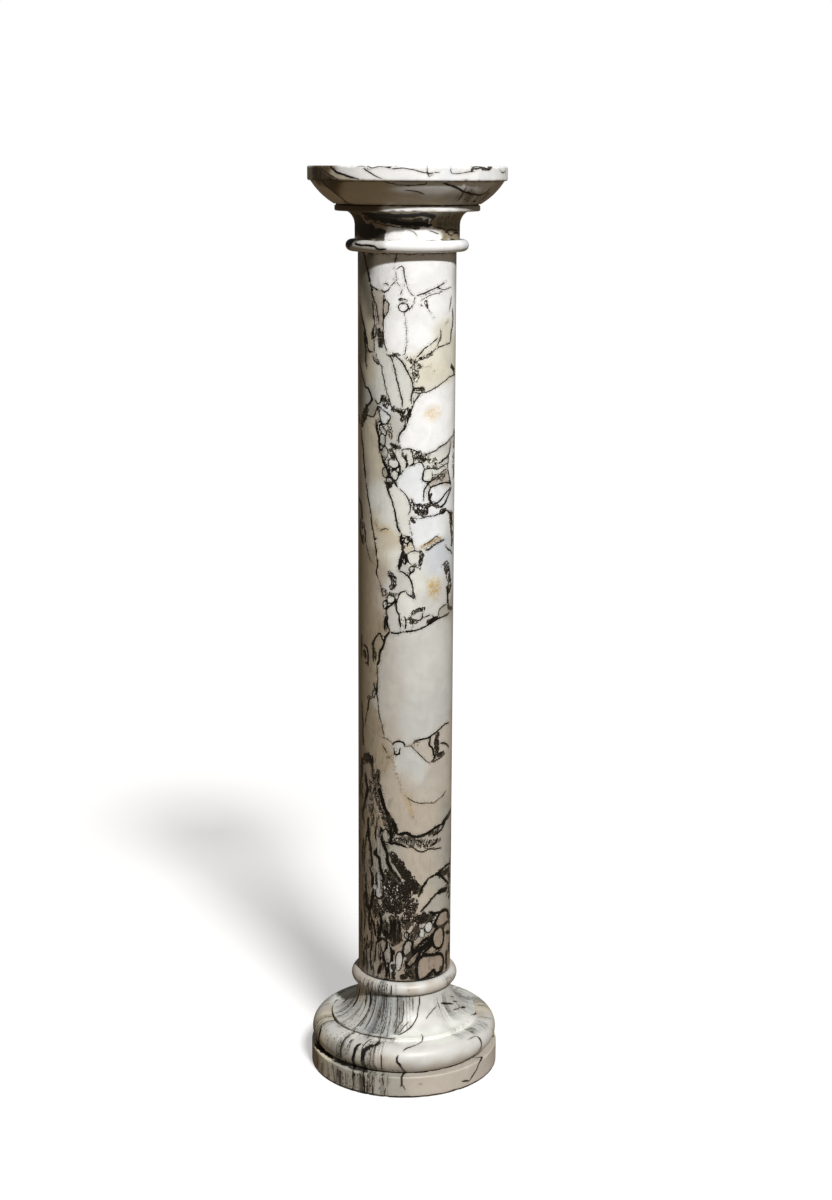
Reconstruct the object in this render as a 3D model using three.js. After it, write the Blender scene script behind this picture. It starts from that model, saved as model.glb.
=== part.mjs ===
// A marble column pedestal: a plain round shaft between a turned base and a turned capital.
// Millimetres, +Z up. The origin is on the column's axis, on the floor.
import * as THREE from "three";

// The whole column.
const HEIGHT = 1100;

// Facets round the column, and along each kind of moulding.
const SIDES = 64;
const TORUS_STEPS = 11;
const MOULDING_STEPS = 8;
const FLARE_STEPS = 6;

// The base, one turned block: a round plinth, a torus, a fillet, a cavetto and an astragal.
const PLINTH_RADIUS = 116;
const PLINTH_HEIGHT = 27;
const PLINTH_SOFTENING = 1.2;
const TORUS_TUBE = 17.5;
const TORUS_OUTER = 114.8;
const TORUS_QUIRK_ANGLE = -70;
const FILLET_RADIUS = 90;
const FILLET_HEIGHT = 4;
const BASE_NECK_RADIUS = 57.6;
const BASE_NECK_HEIGHT = 1;
const BASE_ASTRAGAL_TUBE = 8.4;
const BASE_HEIGHT = 124;

// The shaft, one straight cylinder.
const SHAFT_RADIUS = 57.2;

// The capital, one turned block: an astragal, a neck, a cavetto, a ring, an ovolo and a round slab.
const CAPITAL_HEIGHT = 96;
const CAPITAL_ASTRAGAL_TUBE = 6.8;
const CAPITAL_ASTRAGAL_OUTER = 71.4;
const NECK_RADIUS = 60.8;
const NECK_HEIGHT = 15.4;
const FLARE_RADIUS = 73.4;
const FLARE_HEIGHT = 16.5;
const RING_RADIUS = 84;
const RING_HEIGHT = 7;
const RING_SOFTENING = 1.8;
const QUIRK_HEIGHT = 1;
const OVOLO_FOOT_RADIUS = 84.8;
const OVOLO_TOP_RADIUS = 111.6;
const OVOLO_RISE = 2.2;
const SLAB_RADIUS = 115;
const SLAB_THICKNESS = 16.5;
const SLAB_SOFTENING = 2;

const stone = (color, roughness) => new THREE.MeshStandardMaterial({ color, roughness, metalness: 0 });
const turnedMarble = stone(0xd8d2c8, 0.25);
const veinedMarble = stone(0xc9c2b8, 0.2);

// Points of a round moulding with its centre at (r, z), from one angle to another in degrees.
// Angle 0 points straight out from the axis, 90 points up.
function round(r, z, outward, upward, from, to, steps) {
  const points = [];
  for (let step = 0; step <= steps; step += 1) {
    const angle = THREE.MathUtils.degToRad(from + ((to - from) * step) / steps);
    points.push([r + outward * Math.cos(angle), z + upward * Math.sin(angle)]);
  }
  return points;
}

// A shallow arc from one point to another, standing proud of the straight line between them by rise.
function bow(start, end, rise, steps) {
  const [dr, dz] = [end[0] - start[0], end[1] - start[1]];
  const chord = Math.hypot(dr, dz);
  const points = [];
  for (let step = 0; step <= steps; step += 1) {
    const along = step / steps;
    const proud = 4 * rise * along * (1 - along);
    points.push([start[0] + dr * along + (proud * dz) / chord, start[1] + dz * along - (proud * dr) / chord]);
  }
  return points;
}

// Turns a profile of [radius, height] points, given from the bottom up, about the column's axis.
function turned(name, profile, material) {
  const outline = [[0, profile[0][1]], ...profile, [0, profile.at(-1)[1]]];
  const geometry = new THREE.LatheGeometry(outline.map(([r, z]) => new THREE.Vector2(r, z)), SIDES);
  geometry.rotateX(Math.PI / 2);
  const mesh = new THREE.Mesh(geometry, material);
  mesh.name = name;
  return mesh;
}

// The base, from the floor up. The torus springs from a short upright quirk on the plinth.
function base() {
  const torusReach = TORUS_OUTER - TORUS_TUBE;
  const torusHeight = PLINTH_HEIGHT + TORUS_TUBE;
  const torus = round(
    torusReach, torusHeight, TORUS_TUBE, TORUS_TUBE, TORUS_QUIRK_ANGLE, 90, TORUS_STEPS);
  const filletFoot = PLINTH_HEIGHT + 2 * TORUS_TUBE;
  const filletTop = filletFoot + FILLET_HEIGHT;
  const astragalFoot = BASE_HEIGHT - 2 * BASE_ASTRAGAL_TUBE;
  const hollowOut = FILLET_RADIUS - BASE_NECK_RADIUS;
  const hollowUp = astragalFoot - BASE_NECK_HEIGHT - filletTop;
  const cavetto = round(
    FILLET_RADIUS, filletTop + hollowUp, hollowOut, hollowUp, 270, 180, MOULDING_STEPS);
  const middle = astragalFoot + BASE_ASTRAGAL_TUBE;
  const astragal = round(
    SHAFT_RADIUS, middle, BASE_ASTRAGAL_TUBE, BASE_ASTRAGAL_TUBE, -90, 90, MOULDING_STEPS);
  return turned("base", [
    [PLINTH_RADIUS - PLINTH_SOFTENING, 0],
    [PLINTH_RADIUS, PLINTH_SOFTENING],
    [PLINTH_RADIUS, PLINTH_HEIGHT - PLINTH_SOFTENING],
    [PLINTH_RADIUS - PLINTH_SOFTENING, PLINTH_HEIGHT],
    [torus[0][0], PLINTH_HEIGHT],
    ...torus,
    [FILLET_RADIUS, filletFoot],
    ...cavetto,
    ...astragal,
  ], turnedMarble);
}

// The shaft, standing on the base's astragal and carrying the capital's.
function shaft() {
  return turned("shaft", [
    [SHAFT_RADIUS, BASE_HEIGHT],
    [SHAFT_RADIUS, HEIGHT - CAPITAL_HEIGHT],
  ], veinedMarble);
}

// The capital, from the shaft up to the slab's flat top.
function capital() {
  const foot = HEIGHT - CAPITAL_HEIGHT;
  const astragalReach = CAPITAL_ASTRAGAL_OUTER - CAPITAL_ASTRAGAL_TUBE;
  const middle = foot + CAPITAL_ASTRAGAL_TUBE;
  const astragal = round(
    astragalReach, middle, CAPITAL_ASTRAGAL_TUBE, CAPITAL_ASTRAGAL_TUBE, -90, 90, MOULDING_STEPS);
  const neckFoot = foot + 2 * CAPITAL_ASTRAGAL_TUBE;
  const neckTop = neckFoot + NECK_HEIGHT;
  const flareTop = neckTop + FLARE_HEIGHT;
  const flare = round(
    FLARE_RADIUS, neckTop, FLARE_RADIUS - NECK_RADIUS, FLARE_HEIGHT, 180, 90, FLARE_STEPS);
  const ringTop = flareTop + RING_HEIGHT;
  const ovoloFoot = ringTop + QUIRK_HEIGHT;
  const slabFoot = HEIGHT - SLAB_THICKNESS;
  const ovolo = bow(
    [OVOLO_FOOT_RADIUS, ovoloFoot], [OVOLO_TOP_RADIUS, slabFoot], OVOLO_RISE, MOULDING_STEPS);
  return turned("capital", [
    ...astragal,
    [NECK_RADIUS, neckFoot],
    ...flare,
    [RING_RADIUS - RING_SOFTENING, flareTop],
    [RING_RADIUS, flareTop + RING_SOFTENING],
    [RING_RADIUS, ringTop - RING_SOFTENING],
    [RING_RADIUS - RING_SOFTENING, ringTop],
    [RING_RADIUS - RING_SOFTENING, ovoloFoot],
    ...ovolo,
    [SLAB_RADIUS - SLAB_SOFTENING, slabFoot],
    [SLAB_RADIUS, slabFoot + SLAB_SOFTENING],
    [SLAB_RADIUS, HEIGHT - SLAB_SOFTENING],
    [SLAB_RADIUS - SLAB_SOFTENING, HEIGHT],
  ], turnedMarble);
}

const column = new THREE.Group();
column.add(base(), shaft(), capital());

export default column;
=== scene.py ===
import math
import random

import bpy
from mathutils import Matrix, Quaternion, Vector


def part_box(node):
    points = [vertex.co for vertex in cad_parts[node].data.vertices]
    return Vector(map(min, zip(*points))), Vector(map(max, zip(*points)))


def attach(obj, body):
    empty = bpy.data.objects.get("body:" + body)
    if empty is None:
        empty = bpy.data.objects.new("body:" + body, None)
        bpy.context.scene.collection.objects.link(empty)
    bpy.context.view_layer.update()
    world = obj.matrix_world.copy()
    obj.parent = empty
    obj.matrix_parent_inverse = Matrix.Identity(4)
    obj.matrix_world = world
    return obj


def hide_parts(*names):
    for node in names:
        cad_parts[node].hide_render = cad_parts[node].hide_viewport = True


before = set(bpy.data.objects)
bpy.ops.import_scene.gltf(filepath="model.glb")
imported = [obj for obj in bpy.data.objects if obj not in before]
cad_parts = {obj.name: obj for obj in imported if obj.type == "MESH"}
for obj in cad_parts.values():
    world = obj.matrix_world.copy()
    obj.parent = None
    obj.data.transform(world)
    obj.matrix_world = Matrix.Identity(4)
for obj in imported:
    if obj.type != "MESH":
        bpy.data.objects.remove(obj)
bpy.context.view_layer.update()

# The base: one turned block of pale marble that stands on the floor. It has a round plinth, a torus, a
# fillet, a cavetto and an astragal, all polished. Grey streaks run down its left side, and a few black
# veins cross all its mouldings, because they are sheets through the block.

# Sizes are in millimetres, and MM turns them into the scene's metres.
MM = 0.001
base_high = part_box("base")[1]
base_height = base_high.z / MM
plinth_radius = base_high.x / MM
PLINTH_HEIGHT = 27
PLINTH_SOFTENING = 1.2
TORUS_TUBE = 17.4
TORUS_OUTER = 114.7
FILLET_RADIUS = 90
FILLET_HEIGHT = 4
FILLET_SOFTENING = 0.7
BASE_NECK_RADIUS = 57.6
BASE_NECK_HEIGHT = 1
BASE_ASTRAGAL_TUBE = 8.4
BASE_ASTRAGAL_REACH = 57.2
BASE_SIDES = 420
# How far apart the points of a profile are: on its face, and on a disc that doesn't show.
PROFILE_STEP = 1.25
HIDDEN_DISC_STEP = 8
# How far from an arris its chips reach.
ARRIS_REACH = 2.2


def colour(red, green, blue):
    """A surface colour, from the 0 to 255 steps that a colour picker shows."""
    def share(step):
        part = step / 255
        return part / 12.92 if part <= 0.04045 else ((part + 0.055) / 1.055) ** 2.4
    return share(red), share(green), share(blue)


# The tints of the stone: whites, greys, browns, ochres, and the near-blacks of the veins.
SNOW = colour(248, 249, 249)
PEARL = colour(232, 235, 238)
CREAM = colour(226, 223, 208)
BONE = colour(221, 222, 215)
MIST = colour(206, 210, 215)
CHALK = colour(200, 199, 194)
ASH = colour(191, 191, 186)
PUTTY = colour(190, 186, 178)
COOL = colour(168, 171, 170)
DOVE = colour(166, 163, 153)
SLATE = colour(163, 158, 148)
SAND = colour(205, 197, 178)
BEIGE = colour(184, 176, 165)
FAWN = colour(179, 169, 155)
TAUPE = colour(160, 147, 126)
UMBER = colour(152, 137, 117)
ROSE = colour(152, 139, 125)
OLIVE = colour(140, 130, 105)
MOSS = colour(128, 124, 110)
OCHRE = colour(238, 208, 150)
RUST = colour(186, 158, 116)
BRONZE = colour(96, 80, 58)
PEAT = colour(96, 87, 74)
SMOKE = colour(52, 47, 43)
SOOT = colour(27, 24, 20)
INK = colour(12, 10, 9)


def moulding(r, z, outward, upward, start, end):
    """Points of a round moulding centred on (r, z). Angle 0 points straight out, 90 points up."""
    sweep = math.radians(end - start)
    steps = max(3, round(abs(sweep) * max(outward, upward) / PROFILE_STEP))
    angles = [math.radians(start) + sweep * step / steps for step in range(steps + 1)]
    return [(r + outward * math.cos(a), z + upward * math.sin(a)) for a in angles]


def filled_in(points, under_step, top_step, face_step=PROFILE_STEP):
    """The same profile with points along its straight stretches, and a step for each of its end discs."""
    dense = [points[0]]
    end_steps = {0: under_step, len(points) - 2: top_step}
    for k, ((r0, z0), (r1, z1)) in enumerate(zip(points, points[1:])):
        parts = max(1, math.ceil(math.hypot(r1 - r0, z1 - z0) / end_steps.get(k, face_step)))
        dense += [(r0 + (r1 - r0) * j / parts, z0 + (z1 - z0) * j / parts) for j in range(1, parts + 1)]
    return dense


def helper_mesh(name, points, edges=(), **values):
    """A helper object of bare points, in metres, with a number or a colour of each kind per point."""
    mesh = bpy.data.meshes.new(name)
    mesh.from_pydata(points, list(edges), [])
    for key, column in values.items():
        kind = "FLOAT_VECTOR" if isinstance(column[0], tuple) else "FLOAT"
        layer = mesh.attributes.new(key, kind, "POINT")
        for item, value in zip(layer.data, column):
            setattr(item, "vector" if kind == "FLOAT_VECTOR" else "value", value)
    helper = bpy.data.objects.new(name, mesh)
    bpy.context.scene.collection.objects.link(helper)
    return helper


def profile_object(name, profile, arrises):
    """A profile as a line of points, each with a mark of how near it is to an arris that can chip."""
    marks = [
        max([0.0] + [1 - math.dist(point, arris) / ARRIS_REACH for arris in arrises]) for point in profile
    ]
    points = [(r * MM, 0, z * MM) for r, z in profile]
    return helper_mesh(name, points, zip(range(len(points)), range(1, len(points))), arris=marks)


def around(azimuth, radius, height):
    """A place in metres. The azimuth is in degrees: 0 faces the viewer and 90 is the viewer's right."""
    a = math.radians(azimuth)
    return Vector((radius * math.sin(a), -radius * math.cos(a), height)) * MM


def climb(profile):
    """Gives the function that finds a place on a turned surface from its azimuth and its climb.

    The climb is in millimetres along the profile, from its first point."""
    lengths = [0.0]
    for before, after in zip(profile, profile[1:]):
        lengths.append(lengths[-1] + math.dist(before, after))

    def place(azimuth, along):
        k = 1
        while k < len(lengths) - 1 and lengths[k] < along:
            k += 1
        share = (along - lengths[k - 1]) / (lengths[k] - lengths[k - 1])
        (r0, z0), (r1, z1) = profile[k - 1], profile[k]
        return around(azimuth, r0 + (r1 - r0) * share, z0 + (z1 - z0) * share)

    return place


# The step between a line's points, which takes a degree as a millimetre, and the taper of its open ends.
LINE_STEP = 1.4
LINE_TAPER = 5.0
TAPER_TIP = 0.3


def smooth_path(points):
    """A smooth curve through given points, with LINE_STEP or less between its points."""
    closed = points[0] == points[-1]
    count = len(points) - 1 if closed else len(points)
    path = []
    for k in range(len(points) - 1):
        near = (k - 1, k, k + 1, k + 2)
        p0, p1, p2, p3 = (points[j % count if closed else min(max(j, 0), count - 1)] for j in near)
        steps = max(1, math.ceil(math.dist(p1, p2) / LINE_STEP))
        for step in range(steps):
            t = step / steps
            path.append(tuple(
                b + 0.5 * t * (c - a + t * (2 * a - 5 * b + 4 * c - d + t * (3 * (b - c) + d - a)))
                for a, b, c, d in zip(p0, p1, p2, p3)))
    return path + [path[0] if closed else points[-1]]


def line_object(name, lines, place, kinds, tapered=True):
    """Lines of edges on the stone's surface, each with half its width. An open end can taper away.

    A line is half its width in millimetres, then a value of each kind or none of them, then its points."""
    points, edges, widths = [], [], []
    values = {kind: [] for kind in kinds}
    for half_width, *given, line in lines:
        path = smooth_path(line)
        blunt = path[0] == path[-1] or not tapered
        first = len(points)
        for k, spot in enumerate(path):
            from_end = LINE_TAPER if blunt else min(k, len(path) - 1 - k) * LINE_STEP
            points.append(place(*spot))
            widths.append(half_width * MM * min(1, TAPER_TIP + (1 - TAPER_TIP) * from_end / LINE_TAPER))
            for kind, value in zip(kinds, given or [0] * len(kinds)):
                values[kind].append(float(value))
        edges += [(k, k + 1) for k in range(first, len(points) - 1)]
    return helper_mesh(name, points, edges, half_width=widths, **values)


def bed_object(name, beds, place):
    """Spots that each give a tint to the stone round them, as far as the next vein."""
    spots = [(spot, tint) for tint, group in beds for spot in group]
    return helper_mesh(
        name, [place(*spot) for spot, tint in spots], tint=[tint for spot, tint in spots])


def put(tree, kind, wires=(), **settings):
    """Adds a node to a tree. Each wire is a value or another node's output, by its input."""
    node = tree.nodes.new(kind)
    for key, value in settings.items():
        setattr(node, key, value)
    for key, value in (wires.items() if isinstance(wires, dict) else enumerate(wires)):
        if isinstance(value, bpy.types.NodeSocket):
            tree.links.new(value, node.inputs[key])
        else:
            node.inputs[key].default_value = value
    return node


def sums(tree, operation, *values):
    """A sum, product or other reckoning with numbers."""
    return put(tree, "ShaderNodeMath", values, operation=operation).outputs[0]


def vectors(tree, operation, *values):
    """The same with vectors. The length of one and the distance between two are numbers."""
    node = put(tree, "ShaderNodeVectorMath", values, operation=operation)
    return node.outputs["Value" if operation in ("LENGTH", "DISTANCE") else "Vector"]


def scaled(tree, vector, factor):
    wires = {0: vector, "Scale": factor}
    return put(tree, "ShaderNodeVectorMath", wires, operation="SCALE").outputs[0]


def noise(tree, vector, scale, detail=2.0, output="Fac"):
    wires = {"Vector": vector, "Scale": scale, "Detail": detail}
    return put(tree, "ShaderNodeTexNoise", wires).outputs[output]


def ramp(tree, value, low, high, start=0.0, end=1.0):
    """A smooth step: start where the value is low, end where it is high."""
    wires = {"Value": value, "From Min": low, "From Max": high, "To Min": start, "To Max": end}
    return put(tree, "ShaderNodeMapRange", wires, interpolation_type="SMOOTHSTEP").outputs["Result"]


def socket(tree, way, name, kind, value=None):
    """Names an input or an output of a tree, and gives an input its usual value."""
    made = tree.interface.new_socket(name=name, in_out=way, socket_type="NodeSocket" + kind)
    if value is not None:
        made.default_value = value


# What a step across a vein costs, where any other step costs about 1.
VEIN_TOLL = 60.0
# A step crosses a vein when the vein is nearer than this share of the step's length.
CROSSED_SHARE = 0.55
# How often the reach of the ways through the stone is doubled.
WAY_DOUBLINGS = 9
# What a zone tells of the stone round it: how broken or streaked, how dark and how ochre it is.
ZONE_KINDS = ("broken", "dark", "ochre")


def turned_stone_tree():
    """A geometry tree that turns a profile into a closed stone, and notes the veins and tints on it."""
    tree = bpy.data.node_groups.new("Turned stone", "GeometryNodeTree")
    socket(tree, "INPUT", "Profile", "Geometry")
    socket(tree, "INPUT", "Sides", "Int", 360)
    socket(tree, "INPUT", "Veins", "Object")
    socket(tree, "INPUT", "Zones", "Object")
    socket(tree, "INPUT", "Beds", "Object")
    socket(tree, "INPUT", "Vein Wander", "Float", 0.003)
    socket(tree, "INPUT", "Zone Wander", "Float", 0.012)
    socket(tree, "INPUT", "Tint Blur", "Int", 8)
    socket(tree, "INPUT", "Hand Finish", "Float", 0.00015)
    socket(tree, "INPUT", "Chip Depth", "Float", 0.001)
    socket(tree, "INPUT", "Stone", "Material")
    socket(tree, "OUTPUT", "Geometry", "Geometry")
    given = put(tree, "NodeGroupInput").outputs
    here = put(tree, "GeometryNodeInputPosition").outputs[0]

    def read(geometry, value, index, kind):
        wires = {"Geometry": geometry, "Value": value, "Index": index}
        return put(tree, "GeometryNodeSampleIndex", data_type=kind, domain="POINT", wires=wires).outputs[0]

    def nearest_point(geometry, place):
        return put(tree, "GeometryNodeSampleNearest", [geometry, place], domain="POINT").outputs[0]

    def named(name, kind="FLOAT"):
        return put(tree, "GeometryNodeInputNamedAttribute", [name], data_type=kind).outputs[0]

    def keep(geometry, name, value, kind="FLOAT"):
        wires = {"Geometry": geometry, "Name": name, "Value": value}
        return put(
            tree, "GeometryNodeStoreNamedAttribute", data_type=kind, domain="POINT", wires=wires).outputs[0]

    def wandering(scale, reach):
        sway = vectors(tree, "SUBTRACT", noise(tree, here, scale, 3.0, "Color"), (0.5, 0.5, 0.5))
        return vectors(tree, "ADD", here, scaled(tree, sway, reach))

    # A grid, one column to a side and one row to a point of the profile, is wrapped round the axis.
    rows = put(tree, "GeometryNodeAttributeDomainSize", [given["Profile"]], component="MESH").outputs[0]
    columns = sums(tree, "ADD", given["Sides"], 1.0)
    grid = put(tree, "GeometryNodeMeshGrid", {
        "Size X": 1.0, "Size Y": 1.0, "Vertices X": columns, "Vertices Y": rows}).outputs["Mesh"]
    across = put(tree, "ShaderNodeSeparateXYZ", [here]).outputs
    turn = sums(tree, "MULTIPLY", sums(tree, "ADD", across["X"], 0.5), -math.tau)
    row = sums(tree, "MULTIPLY", sums(tree, "ADD", across["Y"], 0.5), sums(tree, "SUBTRACT", rows, 1.0))
    row = put(tree, "FunctionNodeFloatToInt", [row], rounding_mode="ROUND").outputs[0]
    spot = put(tree, "ShaderNodeSeparateXYZ", [read(given["Profile"], here, row, "FLOAT_VECTOR")]).outputs
    wrapped = put(tree, "ShaderNodeCombineXYZ", [
        sums(tree, "MULTIPLY", spot["X"], sums(tree, "SINE", turn)),
        sums(tree, "MULTIPLY", spot["X"], sums(tree, "COSINE", turn)), spot["Z"]]).outputs[0]
    stone = keep(grid, "arris", read(given["Profile"], named("arris"), row, "FLOAT"))
    stone = put(tree, "GeometryNodeSetPosition", {"Geometry": stone, "Position": wrapped}).outputs[0]
    stone = put(tree, "GeometryNodeMergeByDistance", {"Geometry": stone, "Distance": 2e-6}).outputs[0]

    # Hand polishing leaves slow waves in the surface, and the arrises lose small chips.
    wave = sums(tree, "MULTIPLY", noise(tree, here, 16.0, 1.0), given["Hand Finish"])
    bite = sums(tree, "MULTIPLY", ramp(tree, noise(tree, here, 130.0), 0.56, 0.68), named("arris"))
    depth = sums(tree, "ADD", wave, sums(tree, "MULTIPLY", bite, given["Chip Depth"]))
    outward = put(tree, "GeometryNodeInputNormal").outputs["Normal"]
    inward = scaled(tree, outward, sums(tree, "MULTIPLY", depth, -1.0))
    stone = put(tree, "GeometryNodeSetPosition", {"Geometry": stone, "Offset": inward}).outputs[0]

    def nearest_line(lines, place):
        """The nearest line to a place: the way to it, how far it is, and how to read its values."""
        found = put(tree, "GeometryNodeProximity", {
            "Geometry": lines, "Sample Position": place}, target_element="EDGES").outputs
        point = nearest_point(lines, found["Position"])
        aside = vectors(tree, "SUBTRACT", found["Position"], place)
        return aside, found["Distance"], lambda name: read(lines, named(name), point, "FLOAT")

    # Each point keeps the way to the nearest vein, so a material can draw a line finer than the mesh.
    veins = put(tree, "GeometryNodeObjectInfo", [given["Veins"]]).outputs["Geometry"]
    aside, gap, vein = nearest_line(veins, wandering(90.0, given["Vein Wander"]))
    stone = keep(stone, "vein_aside", aside, "FLOAT_VECTOR")
    stone = keep(stone, "vein_gap", gap)
    stone = keep(stone, "vein_width", vein("half_width"))
    stone = keep(stone, "vein_rust", vein("rust"))
    zones = put(tree, "GeometryNodeObjectInfo", [given["Zones"]]).outputs["Geometry"]
    _, zone_gap, zone = nearest_line(zones, wandering(60.0, given["Zone Wander"]))
    cover = ramp(tree, sums(tree, "DIVIDE", zone_gap, zone("half_width")), 0.1, 1.7, 1.0, 0.0)
    for name in ZONE_KINDS:
        stone = keep(stone, name, sums(tree, "MULTIPLY", cover, zone(name)))

    # A tint spreads from each spot of the beds by the cheapest way. The veins' toll keeps it in, so each
    # stone between veins gets one tint. The doublings lead each point along its way to its own spot.
    beds = put(tree, "GeometryNodeObjectInfo", [given["Beds"]]).outputs["Geometry"]
    nearest_spot = read(beds, here, nearest_point(beds, here), "FLOAT_VECTOR")
    is_spot = put(tree, "FunctionNodeCompare", {
        2: put(tree, "GeometryNodeInputIndex").outputs[0], 3: nearest_point(stone, nearest_spot)},
        data_type="INT", operation="EQUAL").outputs[0]
    ends = put(tree, "GeometryNodeInputMeshEdgeVertices").outputs
    length = vectors(tree, "DISTANCE", ends["Position 1"], ends["Position 2"])
    across_vein = sums(tree, "LESS_THAN", gap, sums(tree, "MULTIPLY", length, CROSSED_SHARE))
    uneven = sums(tree, "MULTIPLY", noise(tree, here, 80.0), 2.0)
    toll = sums(tree, "MULTIPLY_ADD", across_vein, VEIN_TOLL, uneven)
    ways = put(tree, "GeometryNodeInputShortestEdgePaths", [is_spot, sums(tree, "MULTIPLY", length, toll)])

    def there(value, kind):
        wires = {"Value": value, "Index": named("way", "INT")}
        return put(tree, "GeometryNodeFieldAtIndex", wires, data_type=kind, domain="POINT").outputs[0]

    stone = keep(stone, "way", ways.outputs["Next Vertex Index"], "INT")
    for _ in range(WAY_DOUBLINGS):
        stone = keep(stone, "way", there(named("way", "INT"), "INT"), "INT")
    own_spot = nearest_point(beds, there(here, "FLOAT_VECTOR"))
    tint = read(beds, named("tint", "FLOAT_VECTOR"), own_spot, "FLOAT_VECTOR")
    stone = keep(stone, "tint", tint, "FLOAT_VECTOR")
    blurred = put(tree, "GeometryNodeBlurAttribute", {
        "Value": named("tint", "FLOAT_VECTOR"), "Iterations": given["Tint Blur"],
        "Weight": ramp(tree, named("vein_gap"), 0.0012, 0.0018)}, data_type="FLOAT_VECTOR")
    stone = keep(stone, "tint", blurred.outputs[0], "FLOAT_VECTOR")

    stone = put(tree, "GeometryNodeSetShadeSmooth", [stone]).outputs[0]
    stone = put(tree, "GeometryNodeRealizeInstances", [stone]).outputs[0]
    stone = put(tree, "GeometryNodeSetMaterial", {"Geometry": stone, "Material": given["Stone"]})
    put(tree, "NodeGroupOutput", [stone.outputs[0]])
    return tree


turned_stone = turned_stone_tree()


def turn_stone(name, profile_line, veins, zones, beds, material, **sizes):
    """Turns one block: runs the geometry tree on its profile and keeps the result as a plain mesh."""
    modifier = profile_line.modifiers.new("Turned stone", "NODES")
    modifier.node_group = turned_stone
    sockets = {item.name: item.identifier for item in turned_stone.interface.items_tree
               if item.in_out == "INPUT"}
    values = {"Veins": veins, "Zones": zones, "Beds": beds, "Stone": material, **sizes}
    for key, value in values.items():
        modifier[sockets[key.replace("_", " ")]] = value
    turned = profile_line.evaluated_get(bpy.context.evaluated_depsgraph_get())
    mesh = bpy.data.meshes.new_from_object(turned)
    mesh.name = name
    profile_line.modifiers.clear()
    for helper in (profile_line, veins, zones, beds):
        bpy.data.objects.remove(helper)
    for spare in ("way", "arris"):
        mesh.attributes.remove(mesh.attributes[spare])
    block = bpy.data.objects.new(name, mesh)
    bpy.context.scene.collection.objects.link(block)
    return block


def softened(r, z, radius, start):
    """A small round of an arris, a quarter turn from an angle."""
    return moulding(r, z, radius, radius, start, start + 90)


plinth_inset = plinth_radius - PLINTH_SOFTENING
fillet_inset = FILLET_RADIUS - FILLET_SOFTENING
fillet_foot = PLINTH_HEIGHT + 2 * TORUS_TUBE
fillet_top = fillet_foot + FILLET_HEIGHT
astragal_foot = base_height - 2 * BASE_ASTRAGAL_TUBE
cavetto_rise = astragal_foot - BASE_NECK_HEIGHT - fillet_top
torus = moulding(
    TORUS_OUTER - TORUS_TUBE, PLINTH_HEIGHT + TORUS_TUBE, TORUS_TUBE, TORUS_TUBE, -68, 90)
base_face = [
    *softened(plinth_inset, PLINTH_SOFTENING, PLINTH_SOFTENING, -90),
    *softened(plinth_inset, PLINTH_HEIGHT - PLINTH_SOFTENING, PLINTH_SOFTENING, 0),
    (torus[0][0], PLINTH_HEIGHT),
    *torus,
    (FILLET_RADIUS + FILLET_SOFTENING, fillet_foot),
    (FILLET_RADIUS, fillet_foot + FILLET_SOFTENING),
    *softened(fillet_inset, fillet_top - FILLET_SOFTENING, FILLET_SOFTENING, 0),
    *moulding(FILLET_RADIUS, fillet_top + cavetto_rise, FILLET_RADIUS - BASE_NECK_RADIUS,
              cavetto_rise, 268, 180),
    *moulding(BASE_ASTRAGAL_REACH, astragal_foot + BASE_ASTRAGAL_TUBE, BASE_ASTRAGAL_TUBE,
              BASE_ASTRAGAL_TUBE, -88, 90),
]
base_profile = filled_in(
    [(0, 0), *base_face, (0, base_height)], under_step=HIDDEN_DISC_STEP, top_step=HIDDEN_DISC_STEP)
on_base = climb(base_face)


LEVEL_TURN = 12


def level_line(height, reach=96):
    """A level line over the front of a block and just past its sides. A reach of 180 takes it all round."""
    return [(azimuth, height) for azimuth in range(-reach, reach + 1, LEVEL_TURN)]


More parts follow.
